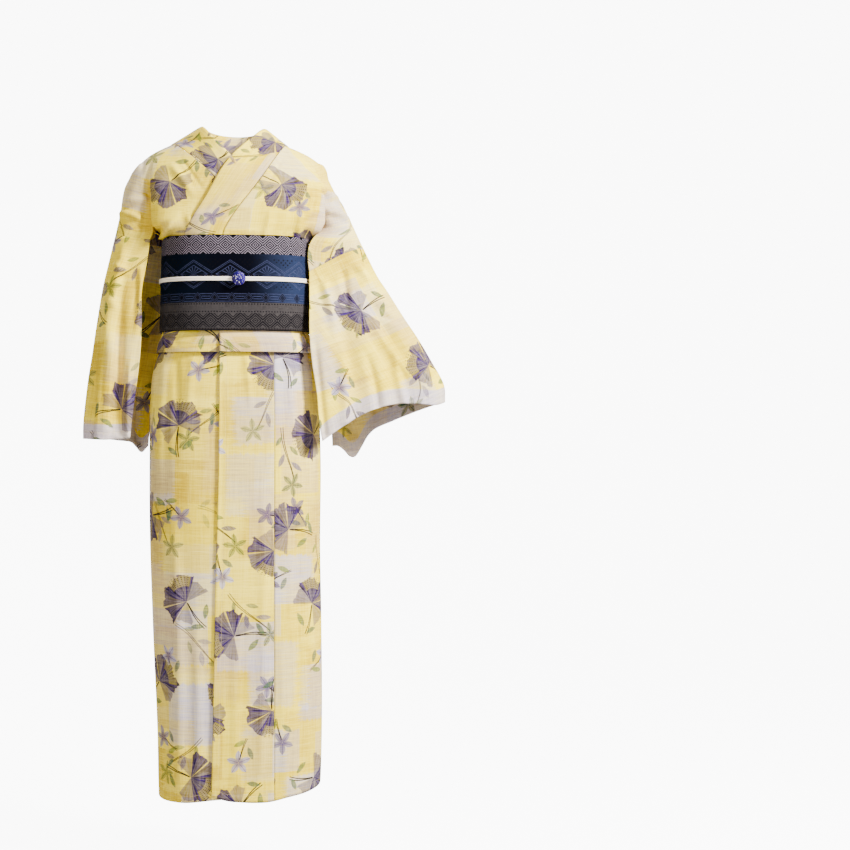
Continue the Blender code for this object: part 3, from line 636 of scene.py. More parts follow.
    def bodice_blocks(self) -> tuple[Array, Array, Array, Array]:
        """Coarse grids of the body panel: shoulder and arm, armhole strip, front and back below the arm."""
        upper = np.stack([self.bodice_row(self.outline[2, 1] - drop) for drop in LEVELS.bodice])
        crease = COLUMNS.chest + COLUMNS.pit
        shoulder = crease + COLUMNS.arm
        strip = upper[-1, crease:shoulder + 1]
        seam = self.sleeve_grid(2, COLUMNS.arm)[0]
        shares = evenly(4)[:, None, None]
        arm = strip * (1 - shares) + seam * shares
        near_body = np.clip(1 - np.arange(COLUMNS.arm + 1) / 5, 0, 1)[None, :, None]
        pit, rear = np.array([self.sleeve.pit_swell, self.sleeve.rear_swell])
        arm = arm + np.sin(np.pi * shares) * (near_body * pit + near_body[:, ::-1] * rear)
        front_rows, back_rows = [upper[-1, :crease + 1]], [upper[-1, shoulder:]]
        for level in LEVELS.waist:
            width, front, back = (curve(level, FIGURE, k) for k in (1, 2, 3))
            start = turn_at(curve(level, self.neck_seam, 1), width)
            x, y = oval(np.linspace(start, 0.5, COLUMNS.section), width, front, back)
            front_rows.append(level_row(x, y - self.over(x, level), level, crease))
            x, y = oval(np.linspace(0.5, 1.0, COLUMNS.section), width, front, back)
            back_rows.append(level_row(x, y, level, COLUMNS.blade + COLUMNS.back))
        return upper, arm, np.stack(front_rows), np.stack(back_rows)

    def finish(self, points: Array) -> Array:
        """Turns the half's own coordinates into the garment's."""
        return points * (self.sign, 1, 1)


def level_row(x: Array, y: Array, level: float, columns: int) -> Array:
    """One level row of a panel, evenly divided."""
    return resample(stacked(x, y, level), evenly(columns))


LEFT = Side(
    sign=1,
    outline=np.array([(0.0, 0.076), (0.055, 0.033), (0.0945, 0.0), (0.1254, -0.0133),
                      (0.1634, -0.0399), (0.1824, -0.0779), (0.2128, -0.133), (0.2413, -0.1919)]),
    neck_seam=np.array([(-0.4, -0.03), (-0.23, -0.029), (-0.182, -0.0258), (-0.071, 0.0474),
                        (0.0, 0.0945)]),
    neck_edge=np.array([(-0.4, -0.0985), (-0.23, -0.098), (-0.182, -0.0965), (-0.105, -0.055),
                        (-0.0295, -0.0093), (0.01, 0.033), (0.033, 0.056)]),
    sleeve=SleeveForm(
        outer=((0.2413, -0.1919), (0.268, -0.245), (0.288, -0.275), (0.319, -0.324), (0.3477, -0.3667),
               (0.372, -0.408), (0.396, -0.452), (0.3985, -0.486)),
        front=((0.1365, -0.2425, 0.062), (0.1365, -0.3, 0.074), (0.136, -0.355, 0.084),
               (0.1405, -0.4114, 0.092), (0.1495, -0.47, 0.099), (0.153, -0.5178, 0.104),
               (0.159, -0.5602, 0.108)),
        back=((0.148, -0.22, -0.045), (0.156, -0.295, -0.05), (0.166, -0.37, -0.052),
              (0.177, -0.44, -0.05), (0.182, -0.505, -0.044), (0.185, -0.57, -0.036)),
        roll=((0.044, 0.004), (0.046, 0.006), (0.047, 0.012), (0.046, 0.018), (0.044, 0.022)),
        pit_swell=(-0.014, -0.006, 0.008),
        rear_swell=(-0.016, 0.004, 0.014),
        mouth_lift=0.03,
        tail_drop=0.04,
        tail_place=0.915,
    ),
    lift=LEVELS.over_lift,
    crest=0.168,
)
RIGHT = Side(
    sign=-1,
    outline=np.array([(0.0, 0.085), (0.063, 0.036), (0.118, 0.0), (0.1444, -0.0124),
                      (0.167, -0.0266), (0.187, -0.0475), (0.21, -0.0836), (0.2166, -0.135),
                      (0.2261, -0.1748)]),
    neck_seam=np.array([(-0.4, -0.042), (-0.23, -0.038), (-0.182, -0.03), (-0.071, 0.0389),
                        (0.0, 0.118)]),
    neck_edge=np.array([(-0.4, -0.096), (-0.23, -0.095), (-0.182, -0.09), (-0.105, -0.045),
                        (-0.0295, 0.0093), (0.01, 0.045), (0.036, 0.064)]),
    sleeve=SleeveForm(
        outer=((0.2261, -0.1748), (0.241, -0.2356), (0.25, -0.276), (0.2603, -0.3401), (0.2689, -0.3999),
               (0.2774, -0.4598), (0.284, -0.5187), (0.285, -0.556)),
        front=((0.1592, -0.1835, 0.046), (0.165, -0.2247, 0.046), (0.174, -0.2799, 0.048),
               (0.1745, -0.3352, 0.052), (0.1765, -0.39, 0.055), (0.183, -0.45, 0.056),
               (0.1925, -0.5206, 0.056), (0.1967, -0.5543, 0.056)),
        back=((0.14, -0.19, -0.04), (0.137, -0.25, -0.052), (0.137, -0.33, -0.058),
              (0.145, -0.41, -0.06), (0.16, -0.49, -0.045), (0.166, -0.566, -0.031)),
        roll=((0.038, 0.004), (0.04, 0.006), (0.041, 0.01), (0.041, 0.014), (0.041, 0.018)),
        pit_swell=(-0.002, -0.002, 0.0),
        rear_swell=(-0.014, 0.004, 0.01),
        mouth_lift=0.0,
        tail_drop=0.018,
    ),
    lift=0.0,
    crest=0.158,
)


# ==== The robe's pieces ====

# Columns over which folds fade towards a shared border
BORDER = 6


@dataclass
class RobePiece:
    """A sheet of the robe: its name, the solid that it stands for, and what it was cut to."""

    name: str
    node: str
    cut: Cut

    def patches(self) -> list[Patch]:
        """The grids that make its surface."""
        raise NotImplementedError

    def build(self, material: Material) -> Piece:
        """Sews the sheet in its finish."""
        return make_piece(self.name, self.patches(), material, self.node, COTTON_WALL)


@dataclass
class Bodice(RobePiece):
    """One body panel: over the shoulder from the waist tuck in front to the waist tuck behind.

    Its front and back folds are in distance out and level, and those round the arm in cloth coordinates.
    """

    side: Side
    front_folds: tuple[Fold, ...]
    back_folds: tuple[Fold, ...]
    arm_folds: tuple[Fold, ...]
    rows: int = 7
    columns: int = 7

    def patches(self) -> list[Patch]:
        """Front, arm and back, split fine, evened, and with their folds."""
        upper, *lower = self.side.bodice_blocks()
        upper = soften(refine(upper, self.rows, self.columns), self.columns - 2, 1)
        a = (COLUMNS.chest + COLUMNS.pit) * self.columns
        b = a + COLUMNS.arm * self.columns
        whole_arm, whole_front, whole_back = (
            soften(self.join(upper[:, across], refine(grid, self.rows, self.columns)), self.rows - 2, 0)
            for across, grid in zip((slice(a, b + 1), slice(a + 1), slice(b, None)), lower))
        last = len(upper)
        seam_front, seam_back = whole_front[:last, -1].copy(), whole_back[:last, 0].copy()
        fade = np.clip(1 - np.arange(b - a + 1) / (3 * self.columns), 0, 1)[None, :, None]
        whole_arm[:last] += (seam_front - whole_arm[:last, 0])[:, None] * fade
        whole_arm[:last] += (seam_back - whole_arm[:last, -1])[:, None] * fade[:, ::-1]
        whole = [whole_front, whole_arm, whole_back]
        cloth = self.cloth_of(whole)
        return self.folded([Patch(self.side.finish(points), uv) for points, uv in zip(whole, cloth)])

    @staticmethod
    def join(upper: Array, lower: Array) -> Array:
        """Sets a lower grid under an upper one, eased so that they meet."""
        gap = upper[-1] - lower[0]
        fade = np.clip(1 - np.arange(len(lower)) / 8, 0, 1)[:, None, None]
        return np.concatenate([upper, (lower + gap[None] * fade)[1:]])

    @staticmethod
    def cloth_of(whole: list[Array]) -> list[Array]:
        """Cloth coordinates that run on from front to arm to back; rows of front and back keep their weft."""
        front, arm, back = (lengths(grid) for grid in whole)
        front[:, :, 1], back[:, :, 1] = front[:, -1:, 1], back[:, :1, 1]
        front[:, :, 0] -= front[:, -1:, 0]
        arm[:, :, 0] -= arm[:, :1, 0]
        back[:, :, 0] += arm[0, -1, 0] - back[:, :1, 0]
        return [front, arm, back]

    def folded(self, patches: list[Patch]) -> list[Patch]:
        """Moves the patches out by their folds; the borders that they share stay where they are."""
        out = self.side.sign
        front, arm, back = patches
        places = [(self.front_folds, front.points[:, :, 0] * out, front.points[:, :, 2]),
                  (self.arm_folds, arm.cloth[:, :, 0], arm.cloth[:, :, 1]),
                  (self.back_folds, back.points[:, :, 0] * out, back.points[:, :, 2])]
        moved = []
        for patch, place in zip(patches, places):
            column = np.arange(patch.points.shape[1])
            border = ease(0, BORDER, column) * ease(0, BORDER, column[::-1])
            moved.append(patch.moved(-out * relief_of(*place) * border))
        return moved


@dataclass
class Sleeve(RobePiece):
    """One sleeve: a wide tube from the arm, open towards the body, with folds in distance out and level."""

    side: Side
    front_folds: tuple[Fold, ...]
    back_folds: tuple[Fold, ...]
    rows: int = 20
    columns: int = 44
    parts: int = 4

    def patches(self) -> list[Patch]:
        """The sleeve's surface with its folds."""
        grid = refine(self.side.sleeve_grid(self.rows, self.columns), self.parts, self.parts)
        x, z = grid[:, :, 0], grid[:, :, 2]
        place = np.linspace(0, 1, grid.shape[1])[None, :]
        front = relief_of(self.front_folds, x, z) * (1 - ease(0.4, 0.52, place))
        back = relief_of(self.back_folds, x, z) * ease(0.48, 0.6, place)
        at_seam = ease(0, 8, np.arange(len(grid)))[:, None]
        patch = Patch(self.side.finish(grid), lengths(grid))
        return [patch.moved(-self.side.sign * (front + back) * at_seam)]


@dataclass
class Collar:
    """The folded collar band, from the left foot round the nape to the right foot."""

    cut: Cut
    folds: tuple[Fold, ...]
    wall: float = 0.003
    columns: int = 3
    clearance: float = 0.001
    proud: float = 0.0015
    bow: float = 0.0015
    nape_edge: Triple = (0.0, 0.092, 0.03)
    row_parts: int = 7
    column_parts: int = 8

    @staticmethod
    def neck_line(blocks: tuple[Array, Array, Array, Array]) -> Array:
        """The body panel's neck edge from the collar's foot over the shoulder to the nape."""
        upper, _, front, _ = blocks
        over = resample(upper[0], evenly(6))[1:-1]
        return np.vstack([front[2:0:-1, 0], upper[::-1, 0], over, upper[:3, -1]])

    def chest(self, side: Side, x: Array, level: Array) -> Array:
        """y at which the collar lies on the chest, and below the belt's top on the figure."""
        width, front = curve(level, FIGURE, 1), curve(level, FIGURE, 2)
        tucked = ease(0.162, 0.1765, -level)
        y = side.front(x, level) * (1 - tucked) - front * rounded(x, width) * tucked
        stand = side.over(x, level) * (1 - 0.2 * ease(0.05, 0.1, np.abs(x)))
        return y - stand - self.proud * (1 - tucked)

    def half(self, side: Side) -> Array:
        """Half of the collar: each row runs from the neck seam to the neck edge."""
        seam = self.neck_line(side.bodice_blocks())
        length = line_run(seam)
        shoulder = length[-6]
        level = np.interp(length, [0.0, shoulder], [seam[0, 2], side.neck_edge[-1, 0]])
        x = curve(level, side.neck_edge, 1)
        edge = stacked(x, self.chest(side, x, level), level)
        turn = np.clip((length - shoulder) / (length[-1] - shoulder), 0.0, 1.0)
        past = turn > 0
        t = turn[past]
        top_level, top_x = side.neck_edge[-1]
        top_y = float(side.front(top_x, top_level))
        _, nape_y, nape_level = self.nape_edge
        edge[past] = stacked(top_x * np.cos(t * np.pi / 2) ** 0.8,
                             top_y + (nape_y - top_y) * np.sin(t * np.pi / 2),
                             top_level + (nape_level - top_level) * ease(0, 1, t))
        inward = edge - seam
        inward /= np.linalg.norm(inward, axis=1, keepdims=True)
        start = seam + inward * self.clearance
        across = evenly(self.columns)[None, :, None]
        grid = start[:, None] * (1 - across) + edge[:, None] * across
        bow = np.sin(np.pi * across[:, :, 0]) * self.bow
        grid[:, :, 1] -= bow * np.linspace(1, 0, len(seam))[:, None]
        lying = ease(0.03, 0.07, -seam[:, 2])[:, None] * ~past[:, None]
        on_chest = self.chest(side, grid[:, :, 0], grid[:, :, 2])
        grid[:, :, 1] = grid[:, :, 1] * (1 - lying) + on_chest * lying
        return side.finish(grid)

    def patch(self) -> Patch:
        """The whole band: left foot, left of the neck, nape, right of the neck, right foot."""
        left, right = self.half(LEFT), self.half(RIGHT)
        middle = 0.5 * (left[-1] + right[-1])
        middle[:, 0] = 0.0
        whole = np.concatenate([left[:-1], middle[None], right[-2::-1]])
        grid = soften(refine(whole, self.row_parts, self.column_parts), self.row_parts, 0)
        height = relief_of(self.folds, grid[:, :, 0], grid[:, :, 2]) * (grid[:, :, 1] < 0)
        return Patch(grid, lengths(grid)[:, :, ::-1]).moved(height)

    def build(self, material: Material) -> Piece:
        """Sews the band with soft long edges: its two skins close in on each other like half an ellipse."""
        skins = closed_band(self.patch(), self.wall)
        return make_piece("collar_band", skins, material, "collar")


def closed_band(patch: Patch, wall: float, ring: bool = False) -> list[Patch]:
    """Turns a strip into two skins that meet in rounded edges.

    The half wall at a place is the root of 1 - t to the eighth, where t runs from -1 to 1 across the strip.

    Args:
        patch: The strip's middle surface.
        wall: Its thickness.
        ring: Whether the strip runs round, its last row repeating the first; if not, its ends close too.

    Returns:
        The outer skin and the inner one, turned round.
    """
    rows, columns = patch.points.shape[:2]
    across = np.linspace(-1, 1, columns)
    half = np.sqrt(np.clip(1 - across**8, 0, 1))[None, :] * wall / 2
    half = np.broadcast_to(half, (rows, columns)).copy()
    grid = patch.points
    if ring:
        normal = normals_of(np.concatenate([grid[-2:-1], grid, grid[1:2]]))[1:-1] * half[..., None]
    else:
        half[0] = half[-1] = 0.0
        normal = normals_of(grid) * half[..., None]
    outer = Patch(patch.points + normal, patch.cloth)
    inner = Patch((patch.points - normal)[:, ::-1], patch.cloth[:, ::-1])
    return [outer, inner]


# Skirt: level, half width on the wearer's left, half width on the right, depth to the front, to the back
SKIRT = np.array([
    (-1.23, 0.159, 0.145, 0.0985, 0.093),
    (-1.125, 0.162, 0.1465, 0.099, 0.094),
    (-0.9, 0.1605, 0.156, 0.101, 0.098),
    (-0.75, 0.159, 0.161, 0.103, 0.102),
    (-0.59, 0.1605, 0.162, 0.105, 0.106),
    (-0.48, 0.156, 0.16, 0.1045, 0.104),
    (-0.425, 0.1505, 0.154, 0.101, 0.1),
    (-0.395, 0.1425, 0.1435, 0.096, 0.0935),
    (-0.365, 0.13, 0.13, 0.0875, 0.0855),
    (-0.335, 0.1285, 0.1285, 0.0865, 0.085),
])
# Hem: turn round the skirt, level on the left half, level on the right half
HEM = np.array([
    (-0.14, -1.211, -1.22),
    (-0.06, -1.217, -1.22),
    (0.0, -1.2265, -1.221),
    (0.07, -1.229, -1.224),
    (0.18, -1.2215, -1.2293),
    (0.28, -1.2165, -1.2295),
    (0.38, -1.211, -1.228),
    (0.5, -1.2045, -1.224),
    (0.75, -1.207, -1.214),
    (1.0, -1.21, -1.21),
])


class SkirtEdge(Enum):
    """The lines at which the skirt's panels start and end."""

    # A turn round the skirt, or levels, distances from the centre at them, and which half of the skirt
    SIDE = 0.5
    CENTRE_BACK = 1.0
    OVER_EDGE = ((-1.22, -0.86, -0.60, -0.35), (-0.045, -0.0385, -0.0315, -0.03), 1)
    OVER_SEAM = ((0.0,), (0.07,), 1)
    UNDER_SEAM = ((-1.22, -0.35), (0.018, 0.008), 2)
    UNDER_EDGE = ((0.0,), (-0.105,), 2)

    def turn(self, level: Array) -> Array:
        """The line's turn round the skirt at a level."""
        if self in (SkirtEdge.SIDE, SkirtEdge.CENTRE_BACK):
            return np.full_like(level, self.value)
        levels, places, half = self.value
        return turn_at(np.interp(level, levels, places), curve(level, SKIRT, half))


@dataclass
class SkirtPanel(RobePiece):
    """One panel of the skirt, from below the belt to the hem; start is its edge nearer the front.

    Its folds are in the garment's x and level, and it stands lift off the panel that it covers.
    """

    sign: int
    start: SkirtEdge
    end: SkirtEdge
    folds: tuple[Fold, ...]
    lift: float
    rows: int = 150
    columns: int = 44
    hem_depth: float = 0.014
    hem_line: float = 0.004
    hem_relief: float = 0.0005

    def patches(self) -> list[Patch]:
        """The panel's surface: the squarish oval's points between its edges, level by level."""
        share = evenly(self.rows)[:, None]
        across = evenly(self.columns)[None, :]
        level = LEVELS.skirt_top + (LEVELS.hem - LEVELS.skirt_top) * share
        start, end = self.start.turn(level), self.end.turn(level)
        turn = start + (end - start) * across
        half = 1 if self.sign > 0 else 2
        z = LEVELS.skirt_top + (curve(turn, HEM, half) - LEVELS.skirt_top) * share
        x, y = oval(turn, curve(z, SKIRT, half), curve(z, SKIRT, 3), curve(z, SKIRT, 4))
        fade = 1 - ease(0.112, 0.152, x)
        y = y - self.lift * fade * (y < 0)
        grid = stacked(self.sign * x, y, z)
        height = relief_of(self.folds, grid[:, :, 0], grid[:, :, 2])
        hem = np.exp(-((LEVELS.hem - self.hem_depth - grid[:, :, 2]) / self.hem_line) ** 2)
        return [Patch(grid, lengths(grid)).moved(-self.sign * (height - self.hem_relief * hem))]


# ==== Belt, knot, cord and bead ====


@dataclass
class Belt:
    """The half-width belt: the band round the waist, and the flat knot behind."""

    cut: Cut
    card_cut: Cut
    band_cut: Cut
    wall: float = 0.0038
    cord_thickness: float = 0.0034
    gap: float = 0.0004
    side_top: float = 0.1385
    side_bottom: float = 0.144
    depth_top: float = 0.1075
    depth_bottom: float = 0.109
    flatter_back: float = 0.006
    knot_half_width: float = 0.112
    knot_top: float = -0.196
    knot_bottom: float = -0.342
    knot_wall: float = 0.008
    knot_ease: float = 0.0006
    band_half: float = 0.036
    band_bow: float = 0.0016
    cord_pull: float = 0.0008
    edge_wave: float = 0.0007
    soft_wave: float = 0.0006
    rows: int = 48
    columns: int = 320

    def ring(self, level: Array, offset: float, columns: int) -> Array:
        """Level rings round the belt's middle surface, moved out by an offset and evenly divided.

        Args:
            level: Levels of the rings.
            offset: How far out.
            columns: Steps round each ring.

        Returns:
            A grid whose last column repeats the first, both at the centre back.
        """
        rings = []
        for height in np.atleast_1d(level):
            share = float(np.interp(height, (LEVELS.belt_bottom, LEVELS.belt_top), (1.0, 0.0)))
            width = self.side_top + (self.side_bottom - self.side_top) * share - self.wall / 2 + offset
            front = self.depth_top + (self.depth_bottom - self.depth_top) * share - self.wall / 2 + offset
            x, y = oval(np.linspace(-1, 1, 8 * columns + 1), width, front, front - self.flatter_back)
            rings.append(level_row(x, y, float(height), columns))
        return np.stack(rings)

    def band_patch(self) -> Patch:
        """The belt round the waist, with the faint pull of the cord and of the body beneath it."""
        levels = np.linspace(LEVELS.belt_top, LEVELS.belt_bottom, self.rows + 1)
        grid = self.ring(levels, 0.0, self.columns)
        angle = np.linspace(-np.pi, np.pi, self.columns + 1)[None, :]
        z = grid[:, :, 2]
        middle = (LEVELS.belt_top + LEVELS.belt_bottom) / 2
        pull = -self.cord_pull * np.exp(-((z - LEVELS.cord) / 0.01) ** 2)
        edge = self.edge_wave * np.sin(5 * angle + 0.4) * ease(0.045, 0.088, np.abs(z - middle))
        soft = self.soft_wave * np.sin(3 * angle + 14 * z) * np.cos(22 * z + angle)
        cloth = lengths(grid)
        cloth[:, :, 1] = -z
        shift = normals_of(grid) * (pull + edge + soft)[..., None]
        shift[:, -1] = shift[:, 0]
        return Patch(grid + shift, cloth)

    def weave(self, name: str, node: str, patches: list[Patch], material: Material, cut: Cut) -> Piece:
        """Makes one of the belt's pieces."""
        return make_piece(name, patches, material, node)

    def build_band(self, material: Material) -> Piece:
        """The belt round the waist, with rounded top and bottom edges."""
        patch = self.band_patch()
        turned = Patch(np.swapaxes(patch.points, 0, 1)[::-1], np.swapaxes(patch.cloth, 0, 1)[::-1])
        skins = closed_band(turned, self.wall, ring=True)
        return self.weave("belt_round_the_waist", "belt", skins, material, self.cut)

    def card_patch(self) -> Patch:
        """The belt's end folded into a flat card across the back."""
        levels = np.linspace(self.knot_top, self.knot_bottom, 37)
        clear = self.wall / 2 + self.gap * 2 + self.cord_thickness + self.knot_wall / 2 + self.knot_ease
        x = np.linspace(-self.knot_half_width, self.knot_half_width, 65)
        rows = []
        for belt in self.ring(levels, clear, 200):
            rear = belt[belt[:, 1] > 0]
            rear = rear[np.argsort(rear[:, 0])]
            y = np.interp(x, rear[:, 0], rear[:, 1])
            y = 0.35 * y + 0.65 * np.maximum(y, rear[:, 1].max() - 0.004)
            rows.append(stacked(x, y, belt[0, 2]))
        grid = np.stack(rows)[:, ::-1]
        return Patch(grid, stacked(grid[:, :, 0], -grid[:, :, 2]))

    def build_card(self, material: Material) -> Piece:
        """The card: three layers of belt, rounded at its folded ends."""
        skins = closed_band(self.card_patch(), self.knot_wall * 0.92)
        return self.weave("knot_card", "belt_knot_card", skins, material, self.card_cut)

    def build_knot_band(self, material: Material) -> Piece:
        """The belt's other end, folded narrow, passed down over the card and tucked under the belt."""
        rear = float(self.ring(LEVELS.cord, 0.0, 200)[0, :, 1].max())
        near = rear + self.wall + self.gap + self.knot_ease
        far = near + 2 * self.gap + self.cord_thickness + self.knot_wall
        fold = ((0.28, 0.011), (0.9, 0.0028), (1.0, 0.0003), (1.0, -0.008))
        path = np.array([
            (-0.12, LEVELS.belt_top - 0.0035), *((share, self.knot_top + z) for share, z in fold),
            (1.0, 0.5 * (self.knot_top + self.knot_bottom)),
            *((share, self.knot_bottom - z) for share, z in fold[::-1]), (0.08, LEVELS.belt_bottom + 0.0035),
        ])
        path[:, 0] = near + (far - near) * path[:, 0]
        line = resample(refine_rows(path, 12), evenly(96))
        x = np.linspace(self.band_half, -self.band_half, 33)
        bow = self.band_bow * (1 - (x / self.band_half) ** 2)
        grid = stacked(x, line[:, :1] + bow, line[:, 1:])
        crease = 0.0007 * np.sin(grid[:, :, 0] / self.band_half * 7.0 + 9 * grid[:, :, 2])
        patch = Patch(grid, stacked(grid[:, :, 0], -grid[:, :, 2])).moved(crease)
        skins = closed_band(patch, self.wall)
        return self.weave("knot_band", "belt_knot_band", skins, material, self.band_cut)


@dataclass
class BeltCord:
    """The flat braided cord round the belt, and the bead on its front."""

    belt: Belt
    level: float = LEVELS.cord
    width: float = 0.008
    strand_pitch: float = 0.0052
    strand_height: float = 0.00022
    groove: float = 0.0007
    columns: int = 720
    around: int = 20
    bead_x: float = 0.005
    bead_radius: float = 0.013
    bead_depth: float = 0.015

    def strands(self, place: Array, turn: Array) -> Array:
        """Relief of the braid: slanting strands that cross at the middle, as |sin| of two slanted phases."""
        across = np.sin(turn)
        phase = place / self.strand_pitch * 2 * np.pi
        slant = phase + np.pi * 1.6 * np.abs(across) * np.sign(np.cos(turn) + 1e-9)
        return self.strand_height * np.abs(np.sin(slant / 2)) * ease(0.1, 0.5, np.abs(across))

    def build(self, material: Material) -> Piece:
        """A flat section with rounded sides and a groove along its middle, carried round the belt."""
        out = self.belt.wall / 2 + self.belt.gap + self.belt.cord_thickness / 2
        middle = self.belt.ring(self.level, out, self.columns)[0, :-1]
        tangent = np.roll(middle, -1, axis=0) - np.roll(middle, 1, axis=0)
        outward = stacked(tangent[:, 1], -tangent[:, 0], 0.0)
        outward /= np.linalg.norm(outward, axis=1, keepdims=True)
        outward *= np.sign(np.sum(outward[:, :2] * middle[:, :2], axis=1))[:, None]
        turn = np.linspace(0, 2 * np.pi, self.around, endpoint=False)[None, :]
        height = np.sign(np.sin(turn)) * np.abs(np.sin(turn)) ** 0.8 * self.width / 2
        depth = np.sign(np.cos(turn)) * np.abs(np.cos(turn)) ** 0.6 * self.belt.cord_thickness / 2
        depth = depth - self.groove * np.exp(-(height / 0.0009) ** 2) * np.sign(depth)
        place = line_run(middle)[:, None]
        depth = depth + self.strands(place, turn) * np.sign(np.cos(turn) + 1e-9) - 0.00015
        grid = middle[:, None] + outward[:, None] * depth[..., None]
        grid[:, :, 2] += height
        patch = Patch(*(np.pad(values, ((0, 1), (0, 1), (0, 0)), "wrap")
                        for values in (grid, stacked(place, height))))
        return make_piece("braided_cord", [patch], material, "belt_cord")

    def build_bead(self, glass: Material) -> Piece:
        """The bead: a dome covered in small studs, on a flat back.

        A stud stands at each point of a spiral whose turn is the golden angle, and its relief is a bell.
        """
        clear = self.belt.wall / 2 + 2 * self.belt.gap + self.belt.cord_thickness
        seat = float(self.belt.ring(self.level, clear, 2816)[0, :, 1].min())
        rows, columns, count = 110, 300, 130
        stud_radius, stud_height = 0.115, 0.075
        rise = np.linspace(0, np.pi / 2, rows)[:, None]
        angle = np.linspace(0, 2 * np.pi, columns + 1)[None, :]
        facing = stacked(np.cos(rise) * np.cos(angle), np.sin(rise), np.cos(rise) * np.sin(angle))
        place = np.arange(count)
        studs_y = 0.06 + 0.94 * (place + 0.5) / count
        studs_r = np.sqrt(1 - studs_y**2)
        turn = place * np.pi * (3 - math.sqrt(5))
        studs = stacked(studs_r * np.cos(turn), studs_y, studs_r * np.sin(turn))
        near = (facing.reshape(-1, 3) @ studs.T).max(axis=1).reshape(facing.shape[:2])
        relief = np.sqrt(np.clip(1 - (np.arccos(np.clip(near, -1, 1)) / stud_radius) ** 2, 0, 1))
        scale = 1 - stud_height + stud_height * relief
        grid = stacked(self.bead_x + self.bead_radius * facing[:, :, 0] * scale,
                       seat - self.bead_depth * facing[:, :, 1] * scale,
                       self.level + self.bead_radius * facing[:, :, 2] * scale)
        grid[0, :, 1] = seat
        grid[-1] = grid[-1, :1]
        grid[:, -1] = grid[:, 0]
        back = np.stack([np.broadcast_to([self.bead_x, seat, self.level], grid[0].shape), grid[0]])
        flat = np.zeros((*grid.shape[:2], 2))
        return make_piece("studded_bead", [Patch(grid, flat), Patch(back, flat[:2])], glass,
                          "bead", mapped=False)


# ==== Finishes ====

